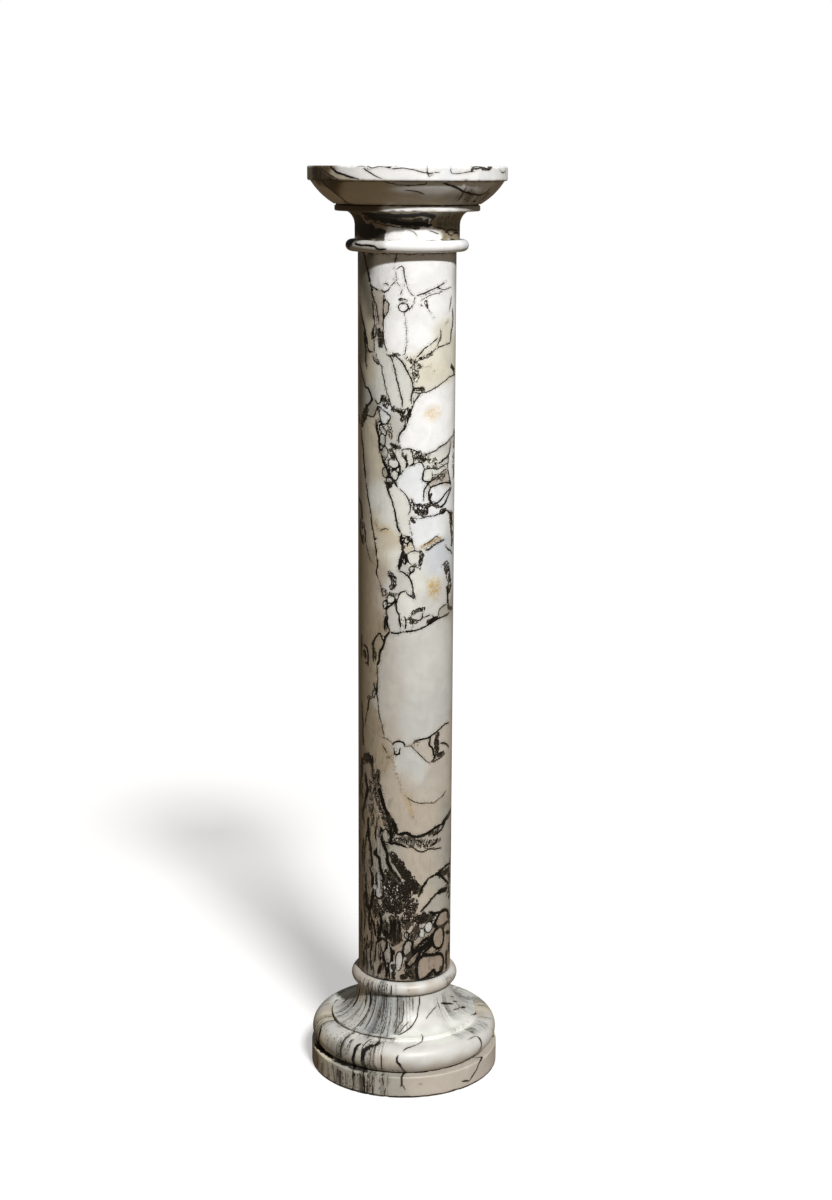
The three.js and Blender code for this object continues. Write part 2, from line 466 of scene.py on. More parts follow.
# The base's veins: half the width in millimetres, then azimuth and climb. The climb is 2 at the plinth's
# lower arris, 28 at its upper one, 41 to 89 over the torus, 95 to 100 over the fillet, 157 at the neck.
BASE_VEINS = [
    # The two long veins over the torus, left of the middle, and the finer ones beside them.
    (2.0, [(-32, 31), (-35, 40), (-33, 49), (-32, 62), (-31, 76), (-29, 80)]),
    (0.6, [(-27, 50), (-26.5, 62), (-27, 74), (-26, 85), (-25, 94)]),
    (2.4, [(-25, 30), (-26.5, 41), (-25, 49), (-25.5, 61), (-25, 72), (-22, 79), (-18, 85), (-18, 92)]),
    (0.6, [(-14, 72), (-13.5, 64), (-14, 42)]),
    (0.4, [(-8, 61), (-6, 42)]),
    (2.1, [(-69, 76), (-66.5, 66), (-66.5, 59), (-69, 52), (-74, 46), (-90, 43)]),
    (0.5, [(-75, 82), (-73, 70), (-73, 60), (-76, 53)]),
    (0.4, [(-20, 84), (-20.5, 72), (-20, 60)]),
    (0.7, [(-18, 56), (-17, 48), (-15, 41)]),
    (0.5, [(-5, 57), (-3.5, 49), (-3, 42)]),
    (0.6, [(-38, 56), (-40, 48), (-44, 40)]),
    (0.5, [(-45, 58), (-48, 48), (-52, 40)]),
    # Down the plinth under them.
    (0.8, [(-49, 26), (-47, 8), (-46, 1)]),
    (0.7, [(-54, 8), (-55, 0)]),
    (0.6, [(-44, 26), (-42, 1)]),
    (0.7, [(-32, 31), (-32, 1)]),
    (0.5, [(-27, 31), (-27, 1)]),
    (1.1, [(-25, 33), (-24, 1)]),
    (0.5, [(-22, 30), (-22, 0)]),
    (0.7, [(-13, 35), (-12, 15)]),
    (0.5, [(-16.5, 33), (-16.5, 23)]),
    (1.1, [(-30.5, 25), (-30.5, 21)]),
    (0.5, [(-19, 29), (-19, 2)]),
    (0.5, [(-11, 14), (-11, 2)]),
    (0.5, [(-37.5, 22), (-37, 2)]),
    # The dark seam along the fillet, on its left and at its right end; on the left it is partly painted
    # shade.
    (0.9, [(-92, 97), (-80, 95.5), (-70, 95.5), (-60, 96)]),
    (0.7, [(-60, 96), (-50, 97), (-40, 97.5), (-28, 98), (-16, 98.5), (-6, 99)]),
    (0.9, [(75, 102), (80, 98), (86, 96), (92, 97)]),
    # Painted shade at the foot and under the astragal; in the quirk over the plinth, dirt and painted shade.
    (0.8, level_line(2.4)),
    (0.7, level_line(40)),
    (0.8, level_line(157.5)),
    # The vein that winds down the middle, from the fillet to the plinth.
    (0.7, [(15, 106), (15, 99), (14, 94), (11, 88), (5, 83), (1, 79), (0, 76)]),
    (1.2, [(-3, 71), (-4, 65), (-2, 58), (0, 51), (2, 42), (0.5, 38), (-1, 29), (-1, 19), (-1.5, 16)]),
    (0.6, [(-0.5, 19), (1.5, 11)]),
    (0.8, [(9, 18), (11, 18)]),
    # The hook on the right of the torus, and its run down the plinth.
    (0.5, [(46, 76), (51, 76), (55, 75)]),
    (1.1, [(55, 75), (56.5, 69), (56.5, 61), (55, 55), (52, 51), (41, 50)]),
    (1.6, [(52, 51), (55, 42), (66, 41)]),
    (1.0, [(55, 36), (58, 32), (58, 29), (53, 25), (51, 18), (46, 11), (44, 8)]),
    (1.6, [(44, 8), (38, 11)]),
    (1.0, [(54, 91), (58, 87)]),
    (0.4, [(78, 92), (81, 82), (85, 72)]),
    (0.5, [(72, 46), (76, 57), (75, 70)]),
    # Up the cavetto.
    (2.0, [(-72, 151), (-70, 125)]),
    (1.0, [(-54.5, 154), (-51, 136)]),
    (1.4, [(-46.5, 156), (-43, 136)]),
    (0.6, [(-43, 136), (-44.5, 122), (-44.5, 105), (-43.7, 99)]),
    (0.5, [(-26.5, 136), (-27, 122)]),
    (0.6, [(0, 151), (-0.5, 135), (-1.5, 126), (-4, 122), (-9, 108)]),
    (0.5, [(5.5, 126), (0.5, 119), (-5, 109), (-8, 106)]),
    (0.8, [(19, 156), (19, 146), (17.5, 141), (16, 134), (12, 125), (5, 116), (-2, 109), (-5, 106)]),
    (1.1, [(49, 139), (55, 137), (61, 134), (70, 130)]),
    (0.5, [(24, 126), (29, 131), (36, 136), (42, 138)]),
    (2.2, [(79, 118), (82, 116), (86, 113)]),
    (0.7, [(64, 124), (72, 121), (79, 119)]),
    (0.7, [(73, 132), (84, 126)]),
    (0.5, [(71, 140), (82, 133)]),
    (0.4, [(-20, 130), (-20, 112), (-19.5, 100)]),
    (0.4, [(-15.5, 142), (-14.5, 118), (-13.5, 99)]),
    (0.4, [(-8, 147), (-8, 131), (-10, 116)]),
    (0.4, [(-4.5, 146), (-5, 128)]),
    (0.4, [(-36, 140), (-36.5, 120), (-36, 104)]),
    (0.4, [(-58, 130), (-60, 112), (-60, 103)]),
    # On the astragal.
    (0.6, [(-27, 176), (-29.5, 161)]),
    (0.8, [(-14, 178), (-13.5, 170), (-14.5, 161)]),
    (1.5, [(-19, 174), (-19, 172)]),
    (0.6, [(3.5, 171.5), (4.5, 172.5)]),
    (1.0, [(58, 168), (63.5, 162)]),
]
# Zones: half the width, how streaked, how dark and how ochre the stone is, then azimuth and climb.
BASE_ZONES = [
    (22, 1.0, 0, 0, [(-26, 108), (-26, 150)]),
    (18, 0.9, 0, 0, [(-52, 108), (-54, 140)]),
    (14, 0.8, 0, 0, [(-72, 112), (-74, 140)]),
    (14, 1.0, 0, 0, [(-4, 122), (-4, 148)]),
    (18, 0.45, 0, 0, [(48, 136), (84, 118)]),
    (22, 1.0, 0, 0, [(-50, 42), (-44, 92)]),
    (18, 0.85, 0, 0, [(-72, 50), (-70, 88)]),
    (14, 0.9, 0, 0, [(-20, 42), (-18, 90)]),
    (18, 1.0, 0, 0, [(-54, 12), (-28, 14)]),
    (12, 0.9, 0, 0, [(-16, 6), (-16, 24)]),
    (12, 0.5, 0, 0, [(-76, 14), (-68, 14)]),
    (9, 0.9, 0, 0, [(-55, 172), (-18, 172)]),
    (9, 0.5, 0, 0, [(44, 90), (72, 80)]),
    (9, 0.6, 0, 0, [(58, 168), (84, 164)]),
    (4, 1.0, 0.3, 0, [(-62, 95), (-44, 96), (-10, 98)]),
    # The dark band on the plinth's top under the torus, on the left, is dirt and painted shade.
    (4, 1.0, 1.0, 0, [(-90, 34), (-60, 35), (-26, 35)]),
]
# Tints, each with its spots. It colours the stone round a spot as far as the next veins.
BASE_BEDS = [
    (CHALK, [(15, 78), (35, 78), (50, 80), (-50, 82), (25, 122), (40, 118), (60, 125), (10, 128), (20, 178),
             (45, 178), (-30, 178), (5, 78), (30, 66), (48, 67), (62, 66), (-75, 110), (78, 115), (-8, 172),
             (15, 66), (70, 76), (84, 76), (82, 100), (-58, 84), (-12, 80), (-2, 68), (-21, 90),
             (-24, 80)]),
    (BONE, [(15, 90), (35, 90), (55, 92), (30, 106), (50, 107), (70, 106), (-45, 88), (0, 106)]),
    (COOL, [(-15, 135), (-30, 125), (-8, 122), (-20, 112), (-30, 142), (-2, 140), (-32, 108)]),
    (ASH, [(-50, 120), (-60, 112), (-48, 108), (40, 135), (60, 138), (20, 140), (-62, 128), (10, 66),
           (-30, 80)]),
    (BEIGE, [(10, 14), (20, 13), (32, 13), (50, 14), (62, 13), (75, 14), (20, 33), (45, 33), (70, 33),
             (10, 172), (30, 172), (45, 172), (-45, 172), (-60, 172), (20, 50), (35, 50), (55, 50),
             (-20, 66), (0, 58), (-10, 60), (88, 60), (88, 14), (88, 90)]),
    (DOVE, [(-15, 14), (-5, 14), (-30, 14), (-42, 14), (-30, 62), (-40, 55), (-50, 66), (-20, 48),
            (-28, 172)]),
    (SAND, [(-60, 14), (-72, 14), (-62, 60), (-72, 60), (-88, 14), (-88, 60), (-88, 90), (-70, 140)]),
]


def half_round(azimuth, along):
    """Where the front's pattern comes again on the hidden back: half a turn round the stone."""
    return azimuth + 180, along


def all_round(lines, move):
    """The lines or tinted spots of the front, and again where they are moved to at the back."""
    return lines + [(*values, [move(*spot) for spot in line]) for *values, line in lines]


def attribute(tree, name, output="Fac"):
    """A value that the geometry tree noted on the stone."""
    return put(tree, "ShaderNodeAttribute", attribute_name=name).outputs[output]


def blend(tree, factor, first, second, kind="MIX"):
    """Mixes two colours, each a colour of the list above or another node's output."""
    wires = {0: factor}
    for key, value in ((6, first), (7, second)):
        wires[key] = (*value, 1) if isinstance(value, tuple) else value
    return put(tree, "ShaderNodeMix", wires, data_type="RGBA", blend_type=kind).outputs[2]


def vein_line_group():
    """Draws the veins: Line is the dark core with a ragged edge, Halo the stain on both sides of it."""
    tree = bpy.data.node_groups.new("Vein line", "ShaderNodeTree")
    socket(tree, "INPUT", "Ragged", "Float", 0.5)
    socket(tree, "INPUT", "Thickness", "Float", 1.15)
    socket(tree, "INPUT", "Halo Reach", "Float", 0.004)
    socket(tree, "OUTPUT", "Line", "Float")
    socket(tree, "OUTPUT", "Halo", "Float")
    socket(tree, "OUTPUT", "Colour", "Color")
    given = put(tree, "NodeGroupInput").outputs
    here = put(tree, "ShaderNodeTexCoord").outputs["Object"]
    aside = attribute(tree, "vein_aside", "Vector")
    gap, width, rust = (attribute(tree, name) for name in ("vein_gap", "vein_width", "vein_rust"))
    swell = sums(tree, "SUBTRACT", noise(tree, here, 420.0, 3.0), 0.5)
    swell = sums(tree, "MAXIMUM", sums(tree, "MULTIPLY_ADD", swell, given["Ragged"], 1.0), 0.05)
    width = sums(tree, "MULTIPLY", sums(tree, "MULTIPLY", width, given["Thickness"]), swell)
    edge = sums(tree, "MULTIPLY_ADD", width, 1.05, 0.00015)
    line = ramp(tree, vectors(tree, "LENGTH", aside), sums(tree, "MULTIPLY", width, 0.75), edge, 1.0, 0.0)
    # Halfway between two veins the ways to them cancel, so a line counts only where one is really near.
    beyond = sums(tree, "SUBTRACT", gap, width)
    line = sums(tree, "MULTIPLY", line, ramp(tree, beyond, 0.0011, 0.0017, 1.0, 0.0))
    faint = ramp(tree, noise(tree, here, 38.0), 0.32, 0.46, 0.85, 1.0)
    halo = ramp(tree, beyond, 0.0, given["Halo Reach"], 1.0, 0.0)
    put(tree, "NodeGroupOutput", {
        "Line": sums(tree, "MULTIPLY", line, faint), "Halo": halo, "Colour": blend(tree, rust, INK, RUST)})
    return tree


def crystal_group():
    """Polished calcite: a faint cloudiness, a finer grain, hair cracks, and a very shallow unevenness."""
    tree = bpy.data.node_groups.new("Crystal", "ShaderNodeTree")
    socket(tree, "INPUT", "Tint", "Color")
    socket(tree, "INPUT", "Cloud", "Float", 0.1)
    socket(tree, "INPUT", "Cracks", "Float", 0.2)
    socket(tree, "OUTPUT", "Colour", "Color")
    socket(tree, "OUTPUT", "Height", "Float")
    given = put(tree, "NodeGroupInput").outputs
    here = put(tree, "ShaderNodeTexCoord").outputs["Object"]
    cloud = put(tree, "ShaderNodeTexNoise", {
        "Vector": here, "Scale": 50.0, "Detail": 5.0, "Distortion": 0.8}).outputs[0]
    grain = noise(tree, here, 900.0)
    both = sums(tree, "MULTIPLY_ADD", grain, 0.25, sums(tree, "MULTIPLY", cloud, 0.75))
    strength = sums(tree, "MULTIPLY", given["Cloud"], 4)
    shade = sums(tree, "MULTIPLY", sums(tree, "SUBTRACT", both, 0.5), strength)
    stone = scaled(tree, given["Tint"], sums(tree, "ADD", shade, 1.0))
    bent = scaled(tree, noise(tree, here, 30.0, 3.0, "Color"), 0.03)
    cells = put(tree, "ShaderNodeTexVoronoi", {
        "Vector": vectors(tree, "ADD", here, bent), "Scale": 42.0}, feature="DISTANCE_TO_EDGE").outputs[0]
    crack = sums(tree, "MULTIPLY", ramp(tree, cells, 0.004, 0.016, 1.0, 0.0),
                 ramp(tree, noise(tree, here, 24.0), 0.52, 0.66))
    crack = sums(tree, "MULTIPLY", crack, given["Cracks"])
    put(tree, "NodeGroupOutput", {"Colour": blend(tree, crack, stone, SLATE), "Height": grain})
    return tree


vein_line = vein_line_group()
crystal = crystal_group()


def marble(name, vein_values, ground_values):
    """Starts a marble's material, and gives it with its tree, its veins and its tinted ground."""
    material = bpy.data.materials.new(name)
    material.use_nodes = True
    tree = material.node_tree
    veins = put(tree, "ShaderNodeGroup", vein_values, node_tree=vein_line).outputs
    ground_values = {"Tint": attribute(tree, "tint", "Vector"), **ground_values}
    ground = put(tree, "ShaderNodeGroup", ground_values, node_tree=crystal).outputs
    return material, tree, veins, ground


def polished(tree, base_colour, roughness, height):
    """Ends a marble's material: a polished stone with a very shallow bump."""
    bump = put(tree, "ShaderNodeBump", {"Height": height, "Strength": 0.25, "Distance": 0.0003})
    surface = tree.nodes["Principled BSDF"]
    surface.inputs["IOR"].default_value = 1.5
    tree.links.new(base_colour, surface.inputs["Base Color"])
    tree.links.new(roughness, surface.inputs["Roughness"])
    tree.links.new(bump.outputs[0], surface.inputs["Normal"])


def turned_marble():
    """The base's and the capital's marble: pale, with thin grey streaks down it where it is bedded."""
    material, tree, veins, ground = marble(
        "turned_marble", {"Ragged": 0.8, "Halo Reach": 0.003}, {"Cloud": 0.1})
    here = put(tree, "ShaderNodeTexCoord").outputs["Object"]
    streaked = attribute(tree, "broken")

    # The streaks run down the stone at a steady azimuth, so their noise reads the direction from the axis.
    outward = vectors(tree, "NORMALIZE", vectors(tree, "MULTIPLY", here, (1, 1, 0)))
    drift = scaled(tree, noise(tree, here, 14.0, 2.0, "Color"), 0.032)
    slant = vectors(tree, "MULTIPLY", here, (0, 0, 0.3))
    fan = vectors(tree, "ADD", vectors(tree, "ADD", outward, drift), slant)
    thin = ramp(tree, noise(tree, fan, 34.0, 4.0), 0.49, 0.6)
    fine = ramp(tree, noise(tree, fan, 75.0, 3.0), 0.5, 0.62)
    wash = ramp(tree, noise(tree, fan, 9.0, 3.0), 0.36, 0.62)
    grit = ramp(tree, noise(tree, here, 360.0, 4.0), 0.5, 0.62)
    streak = sums(tree, "MULTIPLY", sums(tree, "MULTIPLY_ADD", wash, 0.6, 0.4), thin)
    streak = sums(tree, "MULTIPLY_ADD", sums(tree, "MULTIPLY", fine, grit), 0.85, streak)
    streak = sums(tree, "MULTIPLY_ADD", sums(tree, "MULTIPLY", wash, grit), 0.5, streak)
    streak = sums(tree, "MINIMUM", sums(tree, "MULTIPLY", streak, ramp(tree, streaked, 0.02, 0.8)), 0.95)
    shade = blend(tree, sums(tree, "MULTIPLY", wash, sums(tree, "MULTIPLY", streaked, 0.55)),
                  ground["Colour"], COOL, "MULTIPLY")
    shade = blend(tree, streak, shade, SMOKE)

    # Dark patches with a blotchy edge, then the veins and a faint brown stain beside them.
    dark = attribute(tree, "dark")
    blotch = sums(tree, "ADD", dark, sums(tree, "SUBTRACT", noise(tree, here, 190.0, 5.0), 0.5))
    patch = sums(tree, "MULTIPLY", ramp(tree, blotch, 0.35, 0.6), ramp(tree, dark, 0.05, 0.3))
    shade = blend(tree, sums(tree, "MULTIPLY", patch, 0.94), shade, SOOT)
    shade = blend(tree, sums(tree, "MULTIPLY", veins["Halo"], 0.25), shade, UMBER)
    shade = blend(tree, veins["Line"], shade, veins["Colour"])
    rough = sums(tree, "MULTIPLY_ADD", veins["Line"], 0.1, 0.44)
    polished(tree, shade, rough, ground["Height"])
    return material


pale_marble = turned_marble()
base = turn_stone(
    "base_block", profile_object("base_profile", base_profile, [
        (plinth_radius, PLINTH_HEIGHT), (plinth_radius, 0), (FILLET_RADIUS, fillet_top)]),
    line_object("base_veins", all_round(BASE_VEINS, half_round), on_base, ("rust",)),
    line_object("base_zones", all_round(BASE_ZONES, half_round), on_base, ZONE_KINDS, tapered=False),
    bed_object("base_beds", all_round(BASE_BEDS, half_round), on_base),
    pale_marble, Sides=BASE_SIDES, Vein_Wander=0.003, Zone_Wander=0.02, Tint_Blur=24,
    Hand_Finish=0.00018, Chip_Depth=0.0011)
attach(base, "root")
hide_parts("base")

# The shaft: one straight cylinder of brecciated marble, polished and stood on the base's astragal. White,
# grey and brown stones of every size lie in it, each with its own tint, in a net of nearly black veins,
# and zones of crushed stone run between them.

shaft_low, shaft_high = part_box("shaft")
shaft_radius = shaft_high.x / MM
shaft_foot = shaft_low.z / MM
shaft_top = shaft_high.z / MM
SHAFT_SIDES = 200
SHAFT_STEP = 1.9
SHAFT_DISC_STEP = 20
SHAFT_SOFTENING = 0.5

# The shaft's veins: half the width in millimetres, how rusty the vein is if it is, then azimuth and height.
SHAFT_VEINS = [
    # Under the capital, on the left.
    (1.4, [(-60, 1004), (-56, 996), (-52, 985), (-49, 977), (-46, 968)]),
    (0.9, [(-46, 968), (-43.5, 958), (-41, 952), (-37.5, 945), (-35.5, 935), (-33.5, 924)]),
    (0.8, [(-46, 968), (-43, 965), (-38, 963.5), (-34, 962.5), (-31.5, 963)]),
    (0.7, [(-27, 961), (-27, 955), (-25, 951), (-21, 947), (-21, 941), (-23, 936), (-25, 932)]),
    (0.7, [(-27.5, 958), (-28, 945), (-27.5, 930), (-28, 915), (-27, 905), (-25.5, 898), (-22.5, 893)]),
    (0.9, [(-43, 949), (-42, 938), (-41, 928), (-40, 923)]),
    (0.6, [(-43, 919), (-43, 911), (-41, 907), (-40.5, 897), (-41, 891)]),
    (1.6, [(-67, 945), (-65, 937), (-60, 925), (-57, 917), (-54, 908), (-51, 897)]),
    (1.0, [(-51, 897), (-49, 892), (-43.5, 891)]),
    (1.2, [(-59, 913), (-57, 903), (-55, 891), (-54, 879), (-53, 872)]),
    (1.3, [(-72, 892), (-68, 879), (-63, 866), (-59, 858), (-55, 851), (-50, 849), (-46, 842),
           (-45, 835), (-51, 829), (-56, 823), (-59, 819)]),
    # Under the capital, in the middle and on the right: the branching white stones.
    (0.7, [(-11, 1004), (-13, 996), (-15, 992)]),
    (0.45, [(-15, 988), (-13, 983), (-12, 977), (-11, 972), (-8, 968), (-5.5, 963), (-7, 957), (-8, 953)]),
    (0.5, [(-13, 985), (-7, 989), (-4, 987), (-3, 981), (-1.5, 973), (1, 965), (4, 960), (7, 957),
           (10, 956)]),
    (0.45, [(-13, 979), (-15, 971), (-19, 967), (-21, 965)]),
    (0.4, [(-11, 969), (-7, 966), (-3, 968.5)]),
    (0.6, [(10, 956), (17, 958), (25, 961), (35, 964), (41, 967), (51, 972)]),
    (0.35, [(17, 951), (21, 954), (28, 957), (37, 958), (46, 961)]),
    (0.4, [(23, 953), (23, 948), (25, 941), (29, 936), (33, 931)]),
    (0.8, [(16, 946), (19, 944)]),
    (0.35, [(35, 964), (41, 964), (49, 963), (61, 964)]),
    (0.6, [(-9, 951), (-4, 953), (1, 951)]),
    (0.45, [(9, 955), (8, 949), (5, 944), (1, 939), (-3, 937), (-2.5, 932)]),
    (0.25, [(-2, 933), (-1, 924), (0, 911), (0, 900)]),
    (0.5, [(0, 900), (-1, 893), (-3, 889)]),
    (0.9, [(61, 953), (59, 944), (58, 939)]),
    (1.2, [(64, 940), (65, 929), (64, 920), (62, 912), (60, 901)]),
    (0.6, [(60, 901), (51, 899), (41, 897), (36, 896), (31, 892), (24, 889)]),
    (0.6, [(43, 916), (43, 908), (40, 901), (36, 897)]),
    (0.7, [(40, 908), (32, 904), (27, 900), (20, 895), (16, 891), (11, 886)]),
    (0.3, [(56, 927), (51, 923)]),
    (2.0, [(-16, 890), (-14, 890)]),
    (0.7, [(-25, 890), (-19, 887), (-16, 880), (-13.5, 872), (-11, 861), (-8, 850), (-5, 839), (-4.5, 829)]),
    (0.8, [(-16, 892), (-12, 887), (-7, 883), (-2, 877), (1, 871), (4, 865), (7, 857), (7, 847),
           (5.5, 839), (6, 833)]),
    (0.5, [(11, 873), (20, 877)]),
    (0.5, [(10, 887), (9, 876), (10, 869)]),
    (0.7, [(28, 877), (28.5, 877.5)]),
    (0.7, [(33, 870), (33.5, 870)]),
    (0.6, [(-43, 889), (-41, 883), (-36, 878), (-30, 876), (-29, 868), (-27, 862), (-24, 851),
           (-21, 842), (-19, 833), (-15, 826)]),
    (0.35, [(-41, 897), (-38, 889), (-36, 884), (-32, 878)]),
    # Round the big white stone with the ochre heart.
    (0.6, [(9, 847), (16, 846), (24, 847), (31, 850), (40, 853), (49, 857), (57, 861), (68, 863), (74, 864)]),
    (0.8, [(7, 851), (15, 851), (20, 851.5)]),
    (0.8, [(16, 845), (11, 838), (7, 831), (4, 821), (1, 811), (-1.5, 805), (-5.5, 801), (-8, 797),
           (-9, 793), (-8.5, 787)]),
    (0.6, [(4, 829), (0.5, 821), (-1.5, 811), (-3.5, 806)]),
    (0.7, [(75, 797), (68, 793), (57, 787), (44, 782), (38, 779), (28, 776), (20, 775)]),
    (0.6, [(-8.5, 787), (-4, 782), (1, 782), (7, 781), (12, 779), (20, 775)]),
    (0.8, [(-40, 837), (-36, 831), (-38, 823), (-41, 817), (-48, 817), (-56, 818)]),
    (0.8, [(-36, 831), (-31, 835), (-29, 842), (-26, 842)]),
    # The long veins down the left, and the chain of small stones beside them.
    (1.5, [(-64, 799), (-63, 789), (-60, 778), (-59, 767), (-57, 754), (-55, 743)]),
    (0.9, [(-55, 743), (-51, 723), (-47, 709), (-45, 697), (-43, 687), (-40, 675), (-38, 664), (-36, 653)]),
    (0.8, [(-36, 653), (-35, 643), (-37, 635), (-34, 627)]),
    (0.4, [(-34, 627), (-30, 616), (-28, 605)]),
    (1.2, [(-38, 815), (-37, 805), (-34, 794), (-33, 783), (-30, 773), (-27, 765), (-23, 758),
           (-19, 751), (-14, 744), (-10, 736.5)]),
    (0.7, [(-33, 829), (-27, 825), (-19, 820), (-19, 816), (-25, 809), (-31, 813), (-33, 822), (-33, 829)]),
    (0.6, [(-33, 813), (-29, 807), (-24, 801), (-25, 796), (-31, 801), (-33, 808), (-33, 813)]),
    (1.6, [(-19, 787), (-15, 785), (-11, 783), (-6, 782)]),
    (0.7, [(-17, 781), (-13, 774), (-9, 765), (-7, 759), (-8, 751)]),
    (1.2, [(-4, 781), (-4, 774), (0, 770), (1, 765), (-0.5, 759)]),
    (0.5, [(-0.5, 759), (-5, 754), (-8, 750)]),
    (0.6, [(3, 782), (5, 782), (8, 774), (9, 766), (3, 761)]),
    (0.5, [(1, 778), (1, 765)]),
    (0.6, [(3, 760), (9, 764), (16, 766), (20, 763), (21.5, 758)]),
    (0.9, [(21, 757), (20, 746), (23, 743), (29, 743), (27, 741), (22, 733), (21, 721)]),
    (0.7, [(21, 757), (31, 758), (39, 757), (48, 759), (59, 762)]),
    (0.6, [(29, 743), (39, 747), (49, 753), (56, 755)]),
    (1.0, [(41, 763), (52, 767), (59, 771), (61, 777), (63, 786)]),
    (1.5, [(72, 797), (73, 781), (74, 773)]),
    (0.9, [(59, 769), (57, 758), (60, 746), (65, 735)]),
    # The middle of the upper half, down to the ochre spot.
    (0.9, [(29, 736), (39, 738), (51, 739), (60, 738), (65, 735)]),
    (1.0, [(30, 735), (28, 729), (29, 723), (32, 717), (40, 717), (45, 719), (52, 725), (64, 733)]),
    (1.1, [(65, 731), (60, 724), (56, 719), (48, 712), (40, 711)]),
    (0.6, [(-8, 735), (-1, 729), (4, 720), (5, 712), (3, 704)]),
    (0.5, [(4, 700), (5, 691), (7, 681), (9, 669), (11, 664)]),
    (0.8, [(6, 724), (9, 717), (11, 712)]),
    (0.9, [(-27, 744), (-23, 737), (-20, 729), (-16, 719), (-13, 709), (-11, 697), (-9, 688), (-5, 682)]),
    (1.8, [(-5, 682), (-5, 675), (-3, 664), (-5, 653), (-7, 645), (-8, 639)]),
    (0.5, [(3, 657), (6, 660.5), (11, 662), (16, 660), (17.5, 655)]),
    (0.45, [(2.5, 654), (4, 649), (8, 646), (13, 647)]),
    (2.4, [(-3.5, 668), (-3, 661)]),
    (1.5, [(-23, 743), (-20, 738)]),
    (0.5, [(-5, 680), (1, 679), (7, 679)]),
    (1.2, [(2.5, 672), (2, 667)]),
    (0.8, 0.9, [(17, 664), (25, 668), (35, 672), (41, 675), (47, 674)]),
    (0.4, [(19, 667), (27, 671), (36, 676), (42, 678)]),
    (0.9, [(23, 662), (31, 665), (40, 669), (48, 671), (53, 671)]),
    (0.8, [(-2.5, 664), (-0.5, 656), (1, 647)]),
    (0.9, [(-8, 639), (-3, 637), (1, 633), (5, 629), (8, 621), (9, 612), (11, 605)]),
    (0.9, [(5, 639), (5, 631)]),
    (0.8, [(-9, 605), (-7, 611), (-3, 613), (0, 615)]),
    (0.6, [(0, 615), (4, 608), (11, 605)]),
    (0.9, [(53, 665), (59, 659), (64, 656), (69, 649)]),
    (0.6, [(47, 641), (57, 645), (57, 640), (52, 637), (55, 629), (59, 621), (63, 612)]),
    (0.6, [(5, 701), (14, 700.5), (26, 701.5), (45, 703)]),
    (1.8, [(45, 703), (50, 705), (56, 706)]),
    (1.5, [(57, 705), (63, 700), (67, 691), (69, 684)]),
    (2.3, [(-71, 717), (-65, 711), (-63, 701), (-62, 693)]),
    (2.2, [(-66, 693), (-67, 680), (-63, 669), (-59, 665)]),
    (1.2, [(-59, 691), (-56, 677), (-55, 667)]),
    (0.5, [(-55, 667), (-51, 656), (-47, 648), (-43, 645)]),
    (0.5, 0.6, [(-38, 696), (-36, 688)]),
    (0.5, [(-33, 684), (-25, 687), (-20, 687)]),
    (0.9, [(-36, 675), (-39, 671)]),
    # Over the great grey stone in the middle.
    (0.9, [(-19, 565), (-12, 563), (-1, 565), (9, 566), (20, 569), (31, 574), (40, 577), (52, 579),
           (64, 581)]),
    (1.3, [(-19, 565), (-24, 557), (-27, 547), (-31, 539), (-33, 529), (-36, 521)]),
    (0.7, [(-36, 521), (-35, 510), (-35, 497), (-36, 486), (-34.5, 478), (-33.5, 471), (-32, 460),
           (-29, 451)]),
    (0.5, [(-29, 451), (-26.5, 440), (-25.5, 437)]),
    (1.4, [(-25, 583), (-25, 574), (-25, 565)]),
    (0.9, [(-19, 565), (-21, 570), (-22, 579), (-23, 590), (-19, 595), (-13, 600), (-11, 602)]),
    (1.0, [(-10, 606), (-11, 594), (-8, 586), (-7, 577), (-5, 569)]),
    (0.9, [(-1, 583), (0.5, 575), (-1, 567)]),
    (0.8, [(7, 583), (9, 575), (8, 569)]),
    (0.5, [(4, 581), (9, 587), (15, 590)]),
    (0.7, [(11, 578), (17, 579), (20, 581), (21, 587)]),
    (0.6, [(21, 581), (31, 583), (37, 580), (41, 581)]),
    (1.5, [(28, 575), (35, 578.5), (41, 580)]),
    (0.7, [(43, 581), (45, 589), (52, 592), (57, 593)]),
    (2.0, [(59, 614), (59, 600), (60.5, 592), (63, 587), (70, 584)]),
    (0.8, [(1, 611), (11, 604), (9, 614)]),
    (0.9, [(-27, 550), (-29, 555), (-32, 561), (-39, 554), (-42, 547), (-41, 539), (-42, 531), (-41, 524)]),
    (1.4, [(-60, 542), (-54, 541), (-51, 534), (-51, 518)]),
    (0.8, [(-57, 521), (-51, 521)]),
    (1.6, [(-63, 554), (-64, 539), (-63, 526)]),
    (0.7, [(-41, 499), (-37, 489), (-41, 481), (-43, 486), (-39, 494), (-41, 499)]),
    (1.3, [(-48, 480), (-50, 469), (-53, 460)]),
    (0.8, [(-53, 460), (-55, 451), (-57, 443)]),
    (1.5, [(-63, 471), (-62, 451), (-61, 431), (-60, 417)]),
    # Under it, and round the rounded stone with the ochre thread.
    (0.4, [(-31, 435), (-23, 433), (-17, 429)]),
    (0.7, [(-28, 425), (-25, 420), (-22, 415)]),
    (0.5, [(-23, 410), (-17, 411), (-13, 414)]),
    (0.9, [(-15, 425), (-13, 429), (-8, 431), (-2, 430), (-0.5, 424)]),
    (0.8, [(-14, 425), (-12, 415), (-7, 415), (-6, 423)]),
    (0.6, [(-0.5, 425), (7, 425), (12, 420), (19, 413), (23, 408), (29, 403), (35, 403)]),
    (0.9, [(9, 427), (12, 431), (20, 433), (29, 434), (39, 438), (48, 442), (57, 445), (65, 444)]),
    (1.2, [(14, 427), (16, 427)]),
    (1.2, [(33, 435), (31, 425), (35, 420), (37, 412), (39, 408), (33, 403)]),
